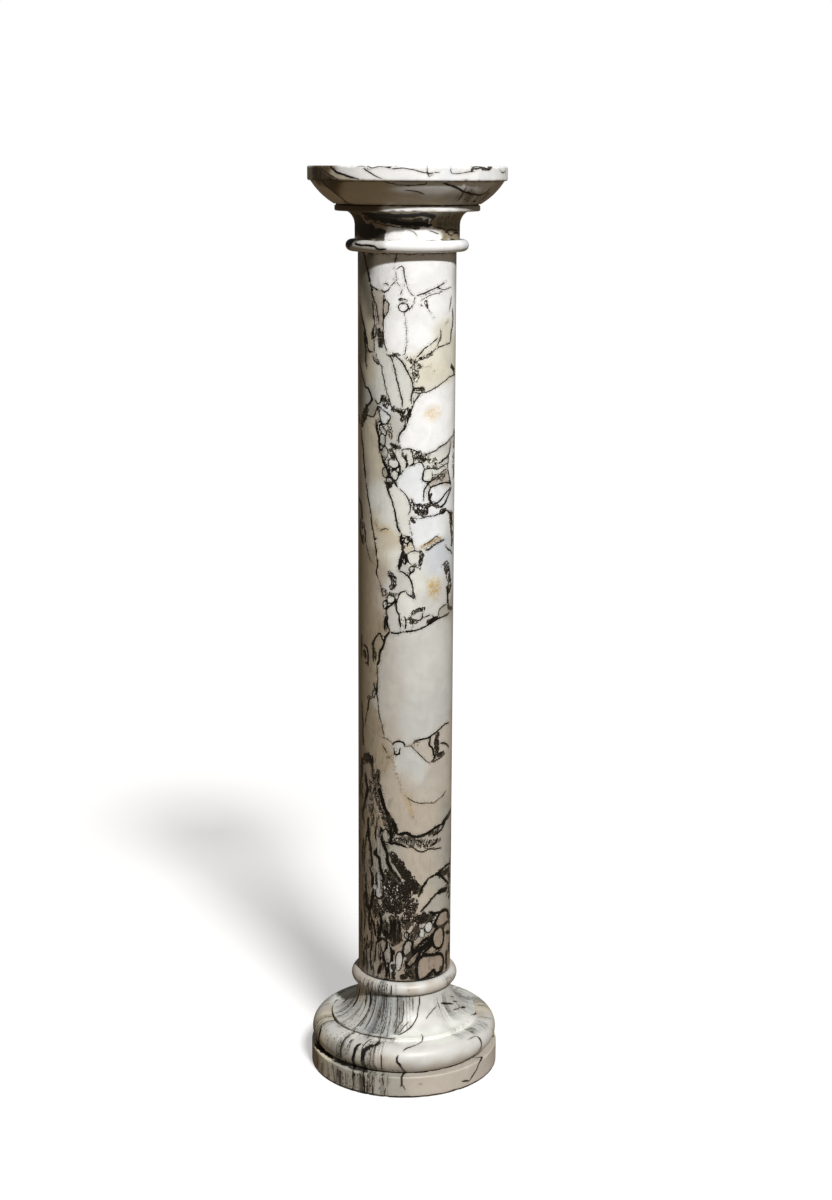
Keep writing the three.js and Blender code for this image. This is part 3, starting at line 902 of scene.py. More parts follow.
    (1.0, [(33, 403), (41, 403.5), (50, 406), (57, 409)]),
    (1.2, [(48, 424), (57, 421), (63, 416), (64, 412)]),
    (0.5, 1.0, [(-4, 372), (-1, 366), (4, 355), (7, 345), (10, 335)]),
    (0.3, 0.7, [(-14, 410), (-12, 396), (-8, 384), (-4, 374)]),
    (0.45, [(0, 363), (9, 357), (20, 353), (36, 351), (44, 353), (52, 356), (59, 361)]),
    (4.5, [(-60, 400), (-54, 404), (-48, 405), (-46, 398)]),
    (1.6, [(-43, 408), (-43, 397), (-43, 385)]),
    (2.5, [(-64, 401), (-63, 391), (-64, 377), (-67, 364), (-68, 351)]),
    (2.4, [(-56, 385), (-54, 373), (-52, 364), (-55, 352), (-56, 345)]),
    (1.0, [(-35, 392), (-33, 387), (-35, 380), (-32, 371)]),
    (2.2, [(-33, 372), (-30, 361), (-27, 351), (-23, 343), (-19, 337), (-14, 329), (-11, 321), (-9, 314)]),
    # The dark lower quarter.
    (1.2, [(-9, 313), (-4, 315), (3, 316), (9, 313), (17, 311), (24, 312), (31, 315), (41, 319), (51, 321)]),
    (2.0, [(51, 321), (61, 325), (72, 331)]),
    (0.9, [(35, 309), (43, 311), (51, 315), (59, 321)]),
    (1.0, [(33, 299), (39, 299), (42, 302), (45, 305)]),
    (1.0, [(-19, 302), (-11, 303), (-3, 301), (3, 298)]),
    (0.6, [(3, 298), (11, 297), (16, 293), (23, 291), (31, 293), (40, 291), (51, 290)]),
    (1.2, [(-19, 302), (-16, 310), (-17, 321), (-20, 329), (-23, 334)]),
    (1.4, [(-29, 310), (-29, 305), (-25, 298), (-22, 289), (-21, 278), (-16, 270), (-9, 261), (-4, 254)]),
    (1.0, [(31, 256), (40, 258), (49, 261), (63, 264), (75, 261)]),
    (1.2, [(39, 258), (47, 257), (55, 251), (59, 246), (64, 241), (67, 234)]),
    (1.2, [(17, 234), (23, 246), (27, 251), (31, 256)]),
    (1.0, [(20, 214), (28, 221), (37, 230), (44, 234)]),
    (2.0, [(44, 234), (53, 235), (64, 233)]),
    (1.2, [(-51, 329), (-50, 315), (-49, 305), (-46, 294), (-45, 283), (-43, 273), (-44, 267)]),
    (1.2, [(-32, 322), (-30, 318), (-32, 311)]),
    (1.3, [(-36, 294), (-37, 286), (-33, 281), (-31, 270), (-27, 259), (-25, 255)]),
    (1.2, [(-48, 267), (-45, 259), (-43, 251), (-44, 241)]),
    (1.5, [(-69, 261), (-68, 251)]),
    (1.2, [(-54, 257), (-55, 243), (-53, 234)]),
    (2.0, [(-55, 350), (-59, 339), (-61, 330), (-63, 321)]),
    (1.3, [(-69, 307), (-68, 288)]),
    (2.5, [(-29, 253), (-27, 252.5)]),
    # Just over the base: rounded stones in a dark net.
    (1.6, [(-55, 244), (-54, 231), (-53, 217), (-49, 212), (-45, 219), (-43, 231), (-41, 240)]),
    (0.8, [(-38, 240), (-37, 231), (-31, 229), (-26, 235), (-27, 243)]),
    (1.2, [(-47, 213), (-49, 200), (-48, 184)]),
    (1.2, [(-33, 213), (-29, 201), (-30, 191), (-32, 180)]),
    (0.8, [(-43, 201), (-39, 188), (-38, 179)]),
    (1.6, [(-65, 204), (-65, 191), (-66, 177), (-68, 161)]),
    (1.2, [(-38, 168), (-33, 176), (-27, 179), (-22, 176), (-23, 169), (-25, 159), (-26, 148)]),
    (0.7, [(-38, 168), (-38, 153), (-41, 145)]),
    (2.0, [(-17, 169), (-15, 157), (-16, 151)]),
    (2.8, [(-25, 190), (-22, 186), (-22, 181)]),
    (1.2, [(-17, 206), (-16, 192), (-17, 176)]),
    (1.2, [(-11, 206), (-12, 190), (-11, 174)]),
    (1.0, [(-6, 204), (-5, 190), (-6, 176)]),
    (0.9, [(4, 179), (-1, 169), (-1, 161), (4, 159), (9, 164), (10, 176), (4, 179)]),
    (1.2, [(3, 149), (7, 156), (15, 163), (21, 167), (23, 164), (17, 156), (15, 151), (9, 145), (4, 144),
           (3, 149)]),
    (1.2, [(13, 165), (20, 173), (29, 179), (31, 175), (24, 169), (16, 165), (13, 165)]),
    (1.6, [(0, 158), (12, 163), (23, 167), (33, 171), (36, 179), (39, 185)]),
    (1.3, [(16, 148), (23, 157), (31, 157), (40, 155), (51, 153), (57, 143), (55, 132), (44, 129),
           (39, 135), (33, 131), (28, 128), (17, 127), (16, 148)]),
    (2.0, [(34, 133), (36, 133)]),
    (1.2, [(23, 160), (31, 165), (37, 169), (41, 163)]),
    (1.2, [(37, 175), (40, 184), (47, 188), (53, 187), (57, 177), (55, 165), (49, 161), (41, 164),
           (37, 175)]),
    (1.3, [(41, 193), (48, 205), (56, 208), (64, 204), (69, 193), (65, 189), (52, 189), (41, 193)]),
    (1.2, [(31, 212), (39, 209), (49, 208)]),
    (1.5, [(61, 177), (72, 171)]),
    (2.0, [(68, 159), (71, 143)]),
    (2.5, [(70, 192), (72, 192)]),
    (1.6, [(-61, 153), (-59, 143), (-61, 131)]),
    (1.5, [(-35, 131), (-32, 137), (-28, 144)]),
    (1.0, [(-25, 157), (-23, 143), (-22, 128)]),
    # Down the dark left side.
    (0.8, [(-49, 330), (-52, 310), (-56, 292), (-58, 270)]),
    (0.7, [(-35, 330), (-38, 312), (-37, 300)]),
    (0.9, [(-60, 300), (-62, 280), (-61, 262)]),
    (0.8, [(-36, 262), (-38, 252), (-35, 243)]),
    (0.9, [(-57, 232), (-59, 215), (-57, 198), (-58, 180)]),
    (0.8, [(-44, 205), (-45, 190), (-44, 172), (-46, 150), (-45, 132)]),
    (0.7, [(-35, 200), (-34, 186), (-35, 172)]),
    (0.8, [(-52, 178), (-54, 160), (-53, 142), (-54, 128)]),
    (0.6, [(-31, 172), (-30, 160), (-31, 148)]),
    (0.8, [(-19, 150), (-19, 138), (-18, 127)]),
]
# Small rounded stones, each in a ring of vein: azimuth, height, half width, half height and tint.
SHAFT_PEBBLES = [
    (-25.5, 964.7, 5, 4.4, SNOW), (-39.5, 915, 2.5, 6.5, ASH), (-4, 943, 5, 5, SNOW),
    (-28.5, 791, 4, 7.5, ASH), (-26, 775, 4.5, 8, DOVE), (-15, 764.5, 6.5, 5.5, BONE),
    (-24, 754, 4.5, 6.5, DOVE), (-13.5, 750.5, 5, 6, BONE), (-20.5, 742.5, 4, 5.5, ASH),
    (-17.5, 604, 4.5, 5.5, BONE),
    (-23, 311, 4.5, 9, SLATE), (39.5, 203.5, 4.5, 3.6, ASH), (31.5, 193, 5.5, 6.8, CHALK),
    (22, 186.5, 4, 6.5, ASH), (-6.5, 152, 4.6, 12.5, ASH), (-20.5, 160, 4.6, 13.5, ASH),
    (7, 194, 4, 6.5, FAWN), (13.5, 184, 3.5, 5, DOVE), (3, 185, 3, 4.5, SLATE),
    (1.5, 674, 3, 4, BONE), (-0.5, 652, 2.4, 6, CHALK), (7, 640, 3, 4, CHALK),
    (-25, 597, 2.6, 5, ASH),
]
# Zones: half the width, how crushed, how dark and how ochre the stone is, then azimuth and height.
SHAFT_ZONES = [
    # Under the capital.
    (4, 1.0, 0.8, 0, [(-32, 898), (-32, 917)]),
    (3, 0.9, 0.5, 0, [(-43, 912), (-42, 906)]),
    (2.5, 1.0, 0.5, 0, [(22, 950), (24, 944)]),
    (2.5, 0.9, 0.3, 0, [(-9, 951), (2, 952)]),
    (3, 1.0, 0.6, 0, [(-18, 889), (-4, 887)]),
    (4, 1.0, 0.3, 0, [(0, 885), (12, 878)]),
    (3, 0.9, 0.3, 0, [(18, 887), (32, 891)]),
    (4, 1.0, 0.3, 0, [(6, 872), (14, 862)]),
    (9, 0.22, 0.1, 0.15, [(24, 868), (46, 871)]),
    (3.5, 1.0, 0.5, 0, [(9, 852), (19, 850)]),
    (4, 1.0, 0.9, 0, [(64, 872), (74, 866)]),
    # Between the small stones on the left of the white one.
    (5, 1.0, 0.5, 0, [(-27, 840), (-24, 831)]),
    (6, 1.0, 1.0, 0, [(-66, 808), (-60, 818), (-53, 824)]),
    (6, 0.6, 0.8, 0, [(-76, 812), (-70, 804)]),
    (4, 1.0, 0.5, 0, [(-14, 826), (-5, 823)]),
    (2.5, 1.0, 0.8, 0, [(-4, 818), (-3, 806)]),
    (2.5, 1.0, 0.9, 0, [(1, 828), (2, 820)]),
    (4, 0.8, 0.3, 0.3, [(-20, 813), (-19, 798)]),
    (3, 1.0, 1.0, 0, [(-18, 787), (-12, 785)]),
    (4, 1.0, 0.6, 0, [(-20, 779), (-15, 772)]),
    (5, 1.0, 0.5, 0, [(10, 774), (19, 771)]),
    (6, 0.8, 0.15, 0.2, [(25, 769), (36, 766)]),
    (3.5, 0.9, 0.3, 0, [(28, 760), (36, 760)]),
    (5, 0.8, 0.3, 0, [(34, 748), (52, 748)]),
    (2.2, 0.8, 0.4, 0, [(46, 766), (58, 771)]),
    (3.5, 0.6, 1.0, 0, [(76, 798), (75, 740)]),
    (3, 1.0, 1.0, 0, [(-21, 741), (-19, 738)]),
    (2.5, 0.8, 0.5, 0, [(29, 729), (29, 720)]),
    # The net across the middle of the upper half.
    (5, 1.0, 0.6, 0, [(11, 709), (24, 708)]),
    (4, 1.0, 0.5, 0, [(12, 716), (40, 713)]),
    (2.5, 1.0, 0.8, 0, [(46, 705), (55, 706)]),
    (3, 1.0, 0.6, 0, [(5, 700), (10, 697)]),
    (3, 1.0, 0.5, 0, [(-3, 676), (7, 675)]),
    (3, 1.0, 0.8, 0, [(18, 660), (20, 647)]),
    (3, 1.0, 0.5, 0, [(11, 644), (20, 641)]),
    (4.5, 1.0, 0.5, 0, [(-18, 633), (-14, 627), (-16, 619)]),
    (5, 0.9, 0.2, 0, [(-26, 611), (-12, 608)]),
    (4, 0.6, 1.0, 0, [(-64, 688), (-62, 670)]),
    (5, 0.8, 0.8, 0, [(68, 700), (73, 664)]),
    (4, 0.8, 0.7, 0, [(61, 640), (67, 622)]),
    (3, 1.0, 0.7, 0, [(53, 641), (57, 630)]),
    (5, 1.0, 1.0, 0, [(60, 612), (64, 607), (70, 612)]),
    (3, 1.0, 0.7, 0, [(1, 582), (12, 577)]),
    (3.5, 1.0, 0.6, 0, [(11, 589), (20, 592)]),
    (2.5, 1.0, 0.9, 0, [(28, 576), (40, 580)]),
    (3, 1.0, 0.7, 0, [(-41, 548), (-40, 530)]),
    (3, 1.0, 0.8, 0, [(-60, 535), (-54, 528)]),
    (3, 1.0, 0.7, 0, [(-52, 478), (-44, 482)]),
    # Under the great grey stone.
    (5, 1.0, 0.8, 0, [(44, 434), (41, 424), (41, 412)]),
    (4, 1.0, 0.9, 0, [(46, 409), (54, 412)]),
    (7, 0.4, 1.0, 0, [(-61, 398), (-51, 402)]),
    (5, 0.6, 1.0, 0, [(-66, 392), (-67, 365), (-66, 335)]),
    (6, 1.0, 0.4, 0, [(-38, 386), (-36, 366), (-30, 347), (-22, 331), (-16, 317)]),
    (4, 0.9, 0.3, 0, [(-46, 374), (-45, 345), (-42, 322)]),
    (6, 1.0, 0.4, 0, [(-16, 307), (-3, 308), (10, 304)]),
    (7, 1.0, 0.3, 0, [(16, 303), (30, 301)]),
    (5, 0.7, 0.2, 0, [(34, 303), (48, 305)]),
    (3, 0.8, 0.7, 0, [(30, 313), (46, 315)]),
    (2.5, 0.8, 0.7, 0, [(-40, 288), (-43, 276)]),
    # The dark ground of the lower quarter, which runs down from the fawn stone to the base.
    (7, 1.0, 1.0, 0, [(-14, 288), (-7, 274), (2, 262), (10, 252), (16, 243)]),
    (12, 1.1, 0.8, 0, [(-16, 258), (-17, 242)]),
    (12, 1.2, 1.0, 0, [(4, 246), (3, 234)]),
    (12, 1.2, 1.0, 0, [(-20, 224), (-8, 220)]),
    (9, 1.1, 0.7, 0, [(-38, 220), (-33, 210)]),
    (9, 1.0, 0.6, 0, [(9, 226), (6, 212), (5, 202)]),
    (8, 1.0, 0.9, 0, [(-13, 203), (-12, 180)]),
    (5, 1.0, 1.0, 0, [(-24, 197), (-22, 184)]),
    (7.5, 1.0, 1.0, 0, [(17, 206), (34, 205)]),
    (5, 1.0, 1.0, 0, [(16, 197), (16, 188)]),
    (4, 1.0, 0.4, 0, [(4, 184), (12, 183)]),
    (3.5, 1.0, 1.0, 0, [(-14, 146), (-13, 129)]),
    (5, 0.9, 0.8, 0, [(67, 148), (67, 132)]),
    (5, 1.0, 0.8, 0, [(8, 141), (11, 130)]),
    (4, 1.1, 1.0, 0, [(-1, 130), (8, 134)]),
    (5, 1.0, 0.5, 0, [(-56, 160), (-44, 166)]),
    (4, 1.0, 1.0, 0, [(33, 131), (38, 131)]),
    (4, 1.0, 1.0, 0, [(54, 133), (54, 129)]),
    (3, 1.0, 0.7, 0, [(-32, 134), (-30, 142)]),
    (5.5, 0.9, 1.0, 0, [(50, 259), (72, 257)]),
    (7, 0.6, 1.0, 0, [(71, 252), (74, 222)]),
    (5, 0.6, 1.0, 0, [(70, 200), (73, 187)]),
    # Ochre stains.
    (7.5, 0, 0, 0.6, [(28, 821), (38, 823)]),
    (9, 0.15, 0, 0.9, [(36, 622), (37, 612)]),
    (2.4, 0.2, 0, 0.6, [(18, 665), (30, 671), (45, 675)]),
    (6, 0, 0, 0.5, [(-36, 687), (-20, 686)]),
    (8, 0, 0, 0.35, [(0, 362), (8, 345)]),
]
# Tints of the stones, each with its spots.
SHAFT_BEDS = [
    (SNOW, [(0, 985), (30, 985), (60, 985), (-14, 915), (12, 915), (30, 935), (66, 925), (25, 825),
            (50, 830), (35, 955), (5, 962), (-12, 960), (20, 795), (60, 810), (66, 755), (-30, 975),
            (-28, 803), (-16, 925), (42, 945), (55, 955)]),
    (PEARL, [(-38, 975), (14, 735), (10, 745), (-26.5, 818), (60, 728), (72, 728),
             (75, 830), (45, 728), (20, 690), (45, 690), (25, 680)]),
    (CREAM, [(30, 880), (45, 870), (50, 915), (20, 868), (72, 900)]),
    (BONE, [(-22, 878), (0, 840), (-10, 872), (-16, 845), (-1, 850), (30, 750), (-15, 655), (-20, 700),
            (-22, 715), (-12, 725), (-3, 705), (-8, 765), (5, 772), (-30, 720), (-35, 855), (45, 770),
            (3, 598), (65, 690), (10, 625), (20, 630), (72, 985), (11, 655)]),
    (MIST, [(40, 655), (65, 670), (30, 645), (-72, 850)]),
    (CHALK, [(-37, 880), (25, 598), (-13.5, 578), (-3, 625), (0, 540), (20, 545), (20, 500), (40, 530),
             (60, 550), (18.5, 573), (35, 600), (50, 600), (55, 783), (-11, 808), (-32, 238)]),
    (ASH, [(50, 480), (10, 460), (30, 455), (0, 450), (30, 465), (75, 560), (-45, 850),
           (0, 400), (20, 385)]),
    (SAND, [(-48, 790), (-42, 760), (-70, 780), (-28, 650), (-35, 690), (-20, 670), (-46, 860),
            (-75, 960)]),
    (BEIGE, [(-52, 760), (-18, 446), (55, 432), (18, 420), (0, 385), (75, 450), (50, 750), (-38, 950),
             (-30, 935), (30, 385), (40, 390), (60, 380), (15, 375), (0, 350)]),
    (PUTTY, [(-24, 540), (-30, 515), (-30, 488), (-22, 500), (-25, 465)]),
    (FAWN, [(-58, 720), (-48, 700), (10, 340), (-5, 345), (-14, 390), (28, 275), (10, 280), (25, 335),
            (35, 340), (30, 283), (45, 345), (70, 360), (-15, 380), (-15, 355), (-35, 640), (-35, 610),
            (-75, 720), (32, 192), (30, 235), (25, 228), (15, 295)]),
    (MOSS, [(-62, 900), (-62, 860), (-60, 985)]),
    (DOVE, [(-45, 828), (52, 585), (42, 250), (50, 290), (52, 340), (50, 222), (-27, 290), (-33, 265)]),
    (SLATE, [(15, 306), (-20, 160), (65, 300), (70, 280), (-45, 145), (-28, 205), (72, 220), (4, 168)]),
    (TAUPE, [(-45, 560), (-55, 560), (-60, 600), (-35, 540), (-45, 450), (-50, 430), (-35, 420), (-25, 400),
             (-45, 310), (-52, 640), (-45, 615), (-70, 640), (-36, 200), (-60, 190), (-55, 290), (-38, 440),
             (-50, 228), (-60, 500), (-70, 560), (-70, 500)]),
    (ROSE, [(30, 145), (45, 142), (47, 175), (32, 162), (56, 198), (12, 155), (24, 173), (-45, 255),
            (-60, 270), (72, 150), (-32, 160), (-72, 300), (-70, 170), (-75, 420), (-58, 370), (1, 142),
            (-1, 172), (9, 178), (-4, 184), (12, 140), (-12, 170)]),
]

# How far round the shaft the front's pattern is given. Its ends are moved out to 90, where the back begins.
SEEN_AZIMUTH = 76
EDGE_STRETCH = 90 / SEEN_AZIMUTH - 1
# Under this height the net of veins is coarser.
DARK_PART_TOP = 335
COARSE_NET = 1.45
PEBBLE_VEIN = 0.6
PEBBLE_CORNERS = 9
# The long veins where the front's pattern meets the back's.
SEAM_VEIN = 1.1
SEAM_STEP = 44
SEAM_WANDER = 10
shaft_middle = (shaft_foot + shaft_top) / 2


def spread(line):
    """A line with its points near both sides moved outwards. The high power leaves the middle alone."""
    return [(a * (1 + EDGE_STRETCH * (abs(a) / SEEN_AZIMUTH) ** 8), z) for a, z in line]


def upside_down(azimuth, height):
    """Where the front's veins come again on the hidden back."""
    return 180 - azimuth, 2 * shaft_middle - height


def mirrored(azimuth, height):
    """Where its tints come again: at their own height, so that the foot is browner all round."""
    return 180 - azimuth, height


def on_shaft(azimuth, height):
    return around(azimuth, shaft_radius, height)


def pebble_ring(azimuth, height, across, up):
    """A closed, slightly uneven ring round a pebble. The pebble's place sets how it is uneven."""
    ring = []
    for corner in range(PEBBLE_CORNERS):
        a = math.tau * corner / PEBBLE_CORNERS
        swell = 1 + 0.1 * math.sin(2 * a + azimuth) + 0.06 * math.sin(3 * a + height)
        ring.append((azimuth + across * swell * math.cos(a), height + up * swell * math.sin(a)))
    return ring + [ring[0]]


draw = random.Random(11)


def seam(side):
    """A long vein that wanders up one side of the shaft."""
    heights = range(round(shaft_foot), round(shaft_top), SEAM_STEP)
    return [(side + draw.uniform(-SEAM_WANDER, SEAM_WANDER), height) for height in heights]


front_veins = []
for half_width, *rust, line in SHAFT_VEINS:
    coarser = COARSE_NET if line[0][1] < DARK_PART_TOP else 1
    front_veins.append((half_width * coarser, *rust, spread(line)))
for *place_and_size, _ in SHAFT_PEBBLES:
    front_veins.append((PEBBLE_VEIN, pebble_ring(*place_and_size)))
seams = [seam(-90), seam(90)]
shaft_veins = all_round(front_veins, upside_down) + [(SEAM_VEIN, line) for line in seams]
# Dirt in the joints with the base and with the capital.
shaft_veins += [(1.1, level_line(shaft_foot + 1, 180)), (0.4, level_line(shaft_top - 1, 180))]
# The stone along a seam is crushed here and there, for three points from every fifth one on.
shaft_zones = all_round(SHAFT_ZONES, upside_down)
shaft_zones += [(5, 0.9, 0.5, 0, line[k:k + 3]) for line in seams for k in range(2, len(line) - 3, 5)]
shaft_beds = all_round([(tint, spread(group)) for tint, group in SHAFT_BEDS], mirrored)
shaft_beds += [(tint, [(a, z), upside_down(a, z)]) for a, z, *_, tint in SHAFT_PEBBLES]


def veined_marble():
    """The shaft's marble: tinted stones, zones of crushed stone, ochre stains and a net of veins."""
    material, tree, veins, ground = marble(
        "veined_marble", {"Ragged": 1.2, "Thickness": 1.25, "Halo Reach": 0.0035},
        {"Cloud": 0.12, "Cracks": 0.08})
    here = put(tree, "ShaderNodeTexCoord").outputs["Object"]

    # Long dark streaks run down the shaft, most of all low on its left, and again all round its foot.
    drawn = vectors(tree, "ADD", vectors(tree, "MULTIPLY", here, (1, 1, 0.13)),
                    scaled(tree, noise(tree, here, 34.0, 2.0, "Color"), 0.012))
    spot = put(tree, "ShaderNodeSeparateXYZ", [here]).outputs
    streaked = sums(tree, "MULTIPLY", ramp(tree, spot["Z"], 0.3, 0.45, 1.0, 0.15),
                    ramp(tree, spot["X"], -0.036, -0.006, 1.0, 0.1))
    streaked = sums(tree, "MAXIMUM", streaked, ramp(tree, spot["Z"], 0.15, 0.24, 0.35, 0.0))
    streak = sums(tree, "MULTIPLY_ADD", ramp(tree, noise(tree, drawn, 520.0, 2.0), 0.5, 0.62), 0.5,
                  ramp(tree, noise(tree, drawn, 210.0, 3.0), 0.53, 0.63))
    streak = sums(tree, "MULTIPLY", streak, ramp(tree, noise(tree, here, 120.0, 3.0), 0.36, 0.56, 0.3, 0.9))
    stone = blend(tree, sums(tree, "MULTIPLY", streak, streaked), ground["Colour"], SOOT)

    # The crushed stone: grains of two or three millimetres, in a dark matrix that fills the gaps.
    bent = vectors(tree, "ADD", vectors(tree, "MULTIPLY", here, (1, 1, 0.62)),
                   scaled(tree, noise(tree, here, 240.0, 3.0, "Color"), 0.006))
    grains = put(tree, "ShaderNodeTexVoronoi", {"Vector": bent, "Scale": 400.0}).outputs["Color"]
    gaps = put(tree, "ShaderNodeTexVoronoi", {
        "Vector": bent, "Scale": 400.0}, feature="DISTANCE_TO_EDGE").outputs[0]
    pale = put(tree, "ShaderNodeSeparateColor", [grains]).outputs[0]
    grain = scaled(tree, ground["Colour"], ramp(tree, pale, 0.15, 0.8, 0.4, 1.1))
    filling = sums(tree, "MULTIPLY_ADD", attribute(tree, "dark"), 0.44, 0.07)
    uneven = sums(tree, "MULTIPLY_ADD", noise(tree, here, 210.0, 4.0), 1.8, 0.1)
    filling = sums(tree, "MULTIPLY", filling, uneven)
    matrix = ramp(tree, gaps, sums(tree, "MULTIPLY", filling, 0.7), filling, 1.0, 0.0)
    mud = blend(tree, ramp(tree, noise(tree, here, 700.0, 3.0), 0.57, 0.7), SOOT, PEAT)
    crushed = blend(tree, matrix, grain, mud)
    broken = attribute(tree, "broken")
    lobes = sums(tree, "SUBTRACT", noise(tree, here, 150.0, 5.0), 0.5)
    ragged = sums(tree, "MULTIPLY_ADD", lobes, 1.5, broken)
    crush = sums(tree, "MULTIPLY", ramp(tree, ragged, 0.38, 0.5), ramp(tree, broken, 0.03, 0.2))
    shade = blend(tree, crush, stone, crushed)

    # Ochre stains, then the veins, with dark specks and a faint brown stain beside them.
    stitches = ramp(tree, noise(tree, here, 300.0, 4.0), 0.38, 0.6, 0.4, 1.15)
    stain = sums(tree, "MULTIPLY", attribute(tree, "ochre"), stitches)
    shade = blend(tree, stain, shade, OCHRE, "MULTIPLY")
    specks = ramp(tree, noise(tree, here, 560.0, 3.0), 0.54, 0.62)
    specks = sums(tree, "MULTIPLY", sums(tree, "MULTIPLY", specks, veins["Halo"]), 0.7)
    shade = blend(tree, specks, shade, SOOT)
    shade = blend(tree, sums(tree, "MULTIPLY", veins["Halo"], 0.14), shade, TAUPE)
    shade = blend(tree, veins["Line"], shade, veins["Colour"])
    rough = sums(tree, "MULTIPLY_ADD", veins["Line"], 0.2, 0.14)
    polished(tree, shade, rough, ground["Height"])
    return material


shaft_inset = shaft_radius - SHAFT_SOFTENING
shaft_profile = filled_in([
    (0, shaft_foot), (shaft_inset, shaft_foot), (shaft_radius, shaft_foot + SHAFT_SOFTENING),
    (shaft_radius, shaft_top - SHAFT_SOFTENING), (shaft_inset, shaft_top), (0, shaft_top),
], under_step=SHAFT_DISC_STEP, top_step=SHAFT_DISC_STEP, face_step=SHAFT_STEP)
shaft = turn_stone(
    "shaft_block", profile_object("shaft_profile", shaft_profile, []),
    line_object("shaft_veins", shaft_veins, on_shaft, ("rust",)),
    line_object("shaft_zones", shaft_zones, on_shaft, ZONE_KINDS, tapered=False),
    bed_object("shaft_beds", shaft_beds, on_shaft),
    veined_marble(), Sides=SHAFT_SIDES, Vein_Wander=0.004, Zone_Wander=0.014, Tint_Blur=14,
    Hand_Finish=0.0001, Chip_Depth=0.0)
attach(shaft, "root")
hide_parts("shaft")

# The capital: one turned block of the same pale marble as the base, polished and set on the shaft. It has
# an astragal, a neck, a small cavetto, a ring, an ovolo and a round slab with a flat top, to stand a bust
# or a vase on. The arrises of the slab and the ring are chipped.

capital_low, capital_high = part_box("capital")
capital_foot = capital_low.z / MM
capital_top = capital_high.z / MM
slab_radius = capital_high.x / MM
CAPITAL_ASTRAGAL_TUBE = 6.8
CAPITAL_ASTRAGAL_OUTER = 71.4
CAPITAL_NECK_RADIUS = 60.8
CAPITAL_NECK_HEIGHT = 15.4
FLARE_RADIUS = 73.4
FLARE_HEIGHT = 16.5
RING_RADIUS = 84
RING_HEIGHT = 7
RING_SOFTENING = 1.8
QUIRK_HEIGHT = 1
OVOLO_FOOT_RADIUS = 84.8
OVOLO_TOP_RADIUS = 111.6
OVOLO_RISE = 2.2
SLAB_THICKNESS = 16.5
SLAB_SOFTENING = 2
CAPITAL_SIDES = 420
SLAB_TOP_STEP = 2.6


def bow(start, end, rise):
    """A shallow arc from one point to another, standing proud of the straight line by rise."""
    dr, dz = end[0] - start[0], end[1] - start[1]
    chord = math.hypot(dr, dz)
    steps = math.ceil(chord / PROFILE_STEP)
    proud = [4 * rise * (k / steps) * (1 - k / steps) / chord for k in range(steps + 1)]
    return [(start[0] + dr * k / steps + p * dz, start[1] + dz * k / steps - p * dr)
            for k, p in enumerate(proud)]


neck_foot = capital_foot + 2 * CAPITAL_ASTRAGAL_TUBE
neck_top = neck_foot + CAPITAL_NECK_HEIGHT
flare_top = neck_top + FLARE_HEIGHT
ring_top = flare_top + RING_HEIGHT
ring_inset = RING_RADIUS - RING_SOFTENING
slab_foot = capital_top - SLAB_THICKNESS
slab_inset = slab_radius - SLAB_SOFTENING
capital_face = [
    *moulding(CAPITAL_ASTRAGAL_OUTER - CAPITAL_ASTRAGAL_TUBE, capital_foot + CAPITAL_ASTRAGAL_TUBE,
              CAPITAL_ASTRAGAL_TUBE, CAPITAL_ASTRAGAL_TUBE, -90, 90),
    (CAPITAL_NECK_RADIUS, neck_foot),
    *moulding(FLARE_RADIUS, neck_top, FLARE_RADIUS - CAPITAL_NECK_RADIUS, FLARE_HEIGHT, 180, 90),
    *softened(ring_inset, flare_top + RING_SOFTENING, RING_SOFTENING, -90),
    *softened(ring_inset, ring_top - RING_SOFTENING, RING_SOFTENING, 0),
    (ring_inset, ring_top + QUIRK_HEIGHT),
    *bow((OVOLO_FOOT_RADIUS, ring_top + QUIRK_HEIGHT), (OVOLO_TOP_RADIUS, slab_foot), OVOLO_RISE),
    *softened(slab_inset, slab_foot + SLAB_SOFTENING, SLAB_SOFTENING, -90),
    *softened(slab_inset, capital_top - SLAB_SOFTENING, SLAB_SOFTENING, 0),
    (0, capital_top),
]
capital_profile = filled_in(
    [(0, capital_foot), *capital_face], under_step=HIDDEN_DISC_STEP, top_step=SLAB_TOP_STEP)
on_capital = climb(capital_face)

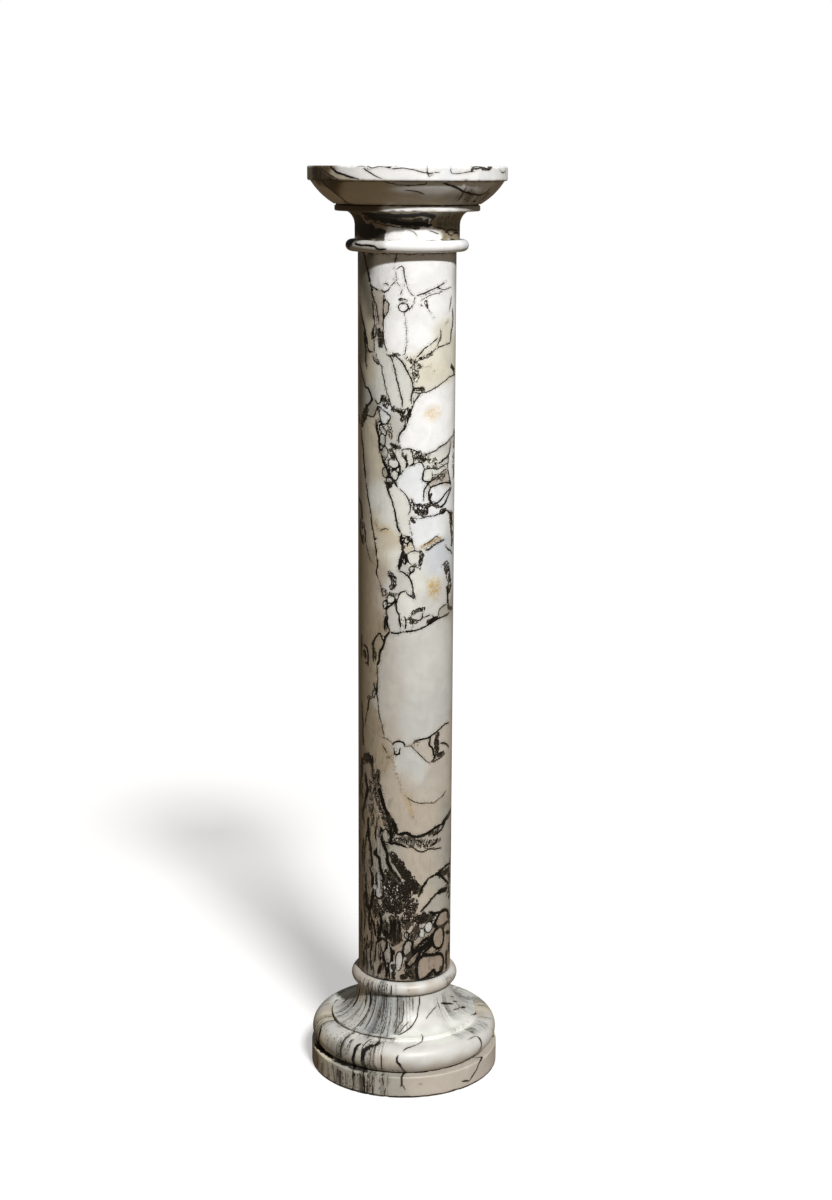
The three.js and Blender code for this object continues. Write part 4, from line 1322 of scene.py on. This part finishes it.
# The capital's veins. The climb is 0 under the astragal, 25 to 40 up the neck, 63 at the cavetto's top, 75
# to 78 up the ring's edge, 85 to 123 up the ovolo, 127 to 140 up the slab's edge, 256 at its top's middle.
CAPITAL_VEINS = [
    # The astragal and the neck.
    (1.2, [(-58, 14), (-51, 12), (-38, 12), (-31, 11), (-27, 8), (-19, 8.5)]),
    (0.5, [(23, 37), (31, 34), (38, 32)]),
    (0.8, [(41, 35), (48, 34), (53, 31), (58, 31), (63, 33), (70, 33), (75, 30)]),
    (0.7, [(28, 41), (38, 39), (48, 36.5), (58, 37.5), (68, 36), (78, 37)]),
    (0.4, [(32, 40), (38, 38.5)]),
    (0.3, [(0.5, 37), (8, 34), (11, 29)]),
    (0.4, [(36, 26.5), (42, 26.5)]),
    (0.4, [(55, 26.7), (63, 26.5)]),
    (2.6, [(-44, 52), (-30, 49), (-17, 46.5), (0, 44), (15, 43.5), (27, 42)]),
    (2.2, [(-50, 56), (-32, 55), (-14, 53.5), (2, 55), (16, 55), (30, 53)]),
    (0.5, [(-44, 46), (-24, 42), (-8, 40.5), (6, 41)]),
    (0.8, [(30, 54), (27, 49), (24, 45)]),
    # The ovolo.
    (1.3, [(-60, 122), (-55, 110), (-52, 100), (-50, 89)]),
    (0.6, [(-12, 121), (-6, 118), (0, 117.5), (10, 118), (11, 121)]),
    (1.3, [(37, 108), (43, 107.5)]),
    (1.2, [(21, 120), (31, 114), (38, 108), (49, 104), (56, 103), (61, 107), (62, 113)]),
    (0.8, [(-1, 111), (6, 109), (11, 104)]),
    (2.5, [(55, 92), (58, 92)]),
    # The slab's edge.
    (1.1, [(-49, 142), (-44, 136), (-38, 132), (-27, 126.5)]),
    (0.6, [(-25, 139), (-18, 131), (-12, 126.5)]),
    (0.5, [(-60, 142), (-52, 134), (-44, 129), (-40, 126)]),
    (0.6, [(11, 142), (11, 136), (12, 130)]),
    (0.7, [(64, 137), (69, 134.5), (75, 136)]),
    (0.5, [(-14, 141), (-8, 138.5), (-2, 139), (2, 138), (8, 135), (12, 134), (18, 135)]),
    (0.4, [(11, 136), (12, 131), (15, 133)]),
    (0.4, [(25, 141), (26, 134), (36, 135), (41, 136)]),
    (0.4, [(65, 135), (70, 134), (75, 136)]),
    (0.4, [(75, 140), (75, 131)]),
    (0.5, [(-29, 140), (-24, 142), (-20, 139), (-15, 141), (-10, 140), (-5, 142)]),
    (0.7, [(38, 141), (42, 139), (47, 140), (52, 138), (56, 141)]),
    # Painted shade: dark lines in the creases over the astragal, over the ring and under the slab.
    (0.5, level_line(24.5)),
    (1.0, level_line(82.5)),
    (0.6, level_line(122.5)),
]
# Over the slab's top the points are in millimetres to the right of the axis and towards the viewer.
TOP_VEINS = [
    (1.4, [(-83, 77), (-60, 55), (-38, 20), (-25, -20), (-32, -60), (-55, -98)]),
    (0.7, [(-38, 20), (-5, 28), (30, 22), (70, 38), (109, 29)]),
    (0.5, [(48, 102), (40, 70), (34, 45), (30, 22)]),
    (0.5, [(-27, 109), (-22, 80), (-5, 50), (-5, 28)]),
    (0.8, [(-25, -20), (10, -38), (45, -45), (80, -79)]),
    (0.4, [(10, -38), (12, -70), (5, -111)]),
    (0.6, [(-112, -10), (-80, 0), (-50, -5), (-28, -12)]),
    (0.4, [(-32, -60), (-70, -50), (-99, -52)]),
    (0.4, [(45, -45), (75, -20), (110, -20)]),
]
TOP_BEDS = [
    (SNOW, [(0, 90), (70, 75), (60, -20), (-60, -30)]),
    (PEARL, [(10, 45), (-75, 30), (40, -80), (95, 0)]),
    (BONE, [(0, 0), (-15, -80), (-70, -75), (100, -45), (40, 60)]),
]
# Zones and tints, given as the base's are.
CAPITAL_ZONES = [
    (7, 0.5, 1.0, 0, [(-88, 15), (-66, 14)]),
    # On the neck's left these dark zones are partly a dark vein and partly painted shade from the ring.
    (13, 0.5, 1.0, 0, [(-90, 42), (-58, 41)]),
    (9, 0.5, 1.0, 0, [(-58, 36), (-38, 33), (-29, 31)]),
    (5, 0.5, 1.0, 0, [(-46, 52), (-20, 47.5), (0, 44.5), (20, 43.5)]),
    (4.5, 0.5, 1.0, 0, [(-46, 56), (-14, 54), (14, 55.5), (28, 53)]),
    (10, 1.0, 0.05, 0, [(38, 49), (68, 48)]),
    (6, 1.0, 0.35, 0, [(-66, 134), (-56, 131), (-48, 127)]),
    (9, 1.0, 0.25, 0, [(40, 102), (52, 98), (66, 96)]),
    (2.5, 0.8, 0.9, 0, [(40, 139.5), (54, 139.5)]),
    (5, 0.8, 0.2, 0, [(-86, 130), (-74, 130)]),
    (9, 0.9, 0.15, 0, [(72, 94), (88, 96)]),
]
CAPITAL_BEDS = [
    (SNOW, [(0, 12), (30, 12), (55, 12), (-15, 32), (20, 30), (5, 77), (30, 77), (-8, 77), (10, 133),
            (-10, 134), (35, 130), (60, 137), (-10, 14), (80, 135), (-28, 133)]),
    (PEARL, [(25, 115), (50, 116), (18, 108), (75, 12), (50, 33), (0, 115)]),
    (CHALK, [(30, 104), (70, 105), (-78, 132), (-75, 100), (75, 77), (48, 76), (-72, 137), (-72, 129),
             (-85, 133), (-35, 14)]),
    (SAND, [(-40, 100), (-20, 98), (-5, 98), (-30, 90), (20, 90), (0, 90), (-30, 60), (0, 60), (20, 60),
            (-60, 105), (-15, 110), (-30, 112), (-38, 130)]),
    (OLIVE, [(34, 51), (44, 53), (56, 51), (68, 49), (44, 45), (58, 43), (72, 43), (60, 60)]),
    (UMBER, [(-30, 44), (-20, 42), (-34, 38)]),
    # Bronze on the ring's left face and the ovolo's left is painted shade; on the slab's left edge it is a
    # dark swath of stone and painted shade.
    (BRONZE, [(-64, 138), (-58, 134), (-52, 130), (-56, 140), (-47, 128), (-30, 77), (-45, 77), (-60, 77),
              (-70, 77), (-52, 117), (-66, 124)]),
]

slab_middle = sum(math.dist(*ends) for ends in zip(capital_face, capital_face[1:]))


def over_top(points):
    """Points of the slab's top, given to the right and towards the viewer, as azimuths and climbs."""
    spots = []
    for right, near in points:
        azimuth = math.degrees(math.atan2(right, near))
        if spots:
            azimuth += 360 * round((spots[-1][0] - azimuth) / 360)
        spots.append((azimuth, slab_middle - math.hypot(right, near)))
    return spots


capital_veins = all_round(CAPITAL_VEINS, half_round)
capital_veins += [(half_width, over_top(smooth_path(line))) for half_width, line in TOP_VEINS]
capital_beds = all_round(CAPITAL_BEDS, half_round) + [(tint, over_top(group)) for tint, group in TOP_BEDS]
capital = turn_stone(
    "capital_block", profile_object("capital_profile", capital_profile, [
        (slab_radius, capital_top), (slab_radius, slab_foot), (RING_RADIUS, flare_top),
        (RING_RADIUS, ring_top)]),
    line_object("capital_veins", capital_veins, on_capital, ("rust",)),
    line_object("capital_zones", all_round(CAPITAL_ZONES, half_round), on_capital, ZONE_KINDS,
                tapered=False),
    bed_object("capital_beds", capital_beds, on_capital),
    pale_marble, Sides=CAPITAL_SIDES, Vein_Wander=0.003, Zone_Wander=0.016, Tint_Blur=20,
    Hand_Finish=0.00018, Chip_Depth=0.0016)
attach(capital, "root")
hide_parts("capital")

# The room: a plain pale floor under a white surround, and two key lights high on the viewer's right, one
# for the column and a softer one for the floor. The camera is level with the slab and looks down on the
# base.

FLOOR_REACH = 14.0
FLOOR_TINT = (0.86, 0.86, 0.86)
FLOOR_TINT_AS_LIGHT = (0.18, 0.13, 0.078)
FLOOR_GLOW = 0.42
floor_mesh = bpy.data.meshes.new("floor")
corners = [(-1, -1), (1, -1), (1, 1), (-1, 1)]
floor_mesh.from_pydata([(x * FLOOR_REACH, y * FLOOR_REACH, 0) for x, y in corners], [], [(0, 1, 2, 3)])
floor = bpy.data.objects.new("floor", floor_mesh)
bpy.context.scene.collection.objects.link(floor)
floor_finish = bpy.data.materials.new("floor_paper")
floor_finish.use_nodes = True
paper = floor_finish.node_tree
sheet = paper.nodes["Principled BSDF"]
sheet.inputs["Roughness"].default_value = 0.9
sheet.inputs["Specular IOR Level"].default_value = 0.0
sheet.inputs["Emission Color"].default_value = (1, 1, 1, 1)
seen = put(paper, "ShaderNodeLightPath").outputs["Is Camera Ray"]
paper.links.new(blend(paper, seen, FLOOR_TINT_AS_LIGHT, FLOOR_TINT), sheet.inputs["Base Color"])
paper.links.new(sums(paper, "MULTIPLY", seen, FLOOR_GLOW), sheet.inputs["Emission Strength"])
floor_mesh.materials.append(floor_finish)

CAMERA_REACH = 2.3
CAMERA_HEIGHT = 1.0983
CAMERA_ASIDE = 0.0123
CAMERA_DIP = 12.44
CAMERA_ROLL = 0.299
FOCAL_PIXELS = 1961
PHOTO_HEIGHT = 1200
camera_data = bpy.data.cameras.new("camera")
camera_data.sensor_fit = "VERTICAL"
camera_data.sensor_height = 24
camera_data.lens = camera_data.sensor_height * FOCAL_PIXELS / PHOTO_HEIGHT
camera = bpy.data.objects.new("camera", camera_data)
camera.location = (CAMERA_ASIDE, -CAMERA_REACH, CAMERA_HEIGHT)
camera.rotation_mode = "QUATERNION"
camera.rotation_quaternion = (
    Quaternion((1, 0, 0), math.radians(90 - CAMERA_DIP)) @ Quaternion((0, 0, 1), math.radians(CAMERA_ROLL)))
bpy.context.scene.collection.objects.link(camera)
bpy.context.scene.camera = camera

KEY_AZIMUTH = 21
KEY_TINT = (1.0, 0.995, 0.985)


def sunlight(name, energy, softness, elevation, lit):
    """A key light that falls on some of the objects only. Softness and elevation are in degrees."""
    data = bpy.data.lights.new(name, "SUN")
    data.energy = energy
    data.angle = math.radians(softness)
    data.color = KEY_TINT
    light = bpy.data.objects.new(name, data)
    a, up = math.radians(KEY_AZIMUTH), math.radians(elevation)
    towards = Vector((math.sin(a) * math.cos(up), -math.cos(a) * math.cos(up), math.sin(up)))
    light.rotation_mode = "QUATERNION"
    light.rotation_quaternion = towards.to_track_quat("Z", "Y")
    bpy.context.scene.collection.objects.link(light)
    receivers = bpy.data.collections.new(name + "_receivers")
    for item in lit:
        receivers.objects.link(item)
    light.light_linking.receiver_collection = receivers


sunlight("key_on_column", energy=4.0, softness=4, elevation=42, lit=[base, shaft, capital])
sunlight("key_on_floor", energy=2.6, softness=12, elevation=48, lit=[floor])

# The surround is white where it is seen, dim where it is mirrored, and dim and warm as light, so that the
# parts turned from the key lights stay dark.
world = bpy.data.worlds.new("surround")
world.use_nodes = True
bpy.context.scene.world = world
air = world.node_tree


def surround(tint, strength):
    return put(air, "ShaderNodeBackground", {"Color": (*tint, 1), "Strength": strength}).outputs[0]


path = put(air, "ShaderNodeLightPath").outputs
as_light = surround((1.0, 0.95, 0.85), 0.125)
as_mirrored = surround((1, 1, 1), 0.05)
as_seen = surround((1, 1, 1), 1.0)
unseen = put(air, "ShaderNodeMixShader", [path["Is Diffuse Ray"], as_mirrored, as_light]).outputs[0]
choice = put(air, "ShaderNodeMixShader", [path["Is Camera Ray"], unseen, as_seen])
air.links.new(choice.outputs[0], air.nodes["World Output"].inputs[0])
bpy.context.scene.view_settings.view_transform = "Standard"
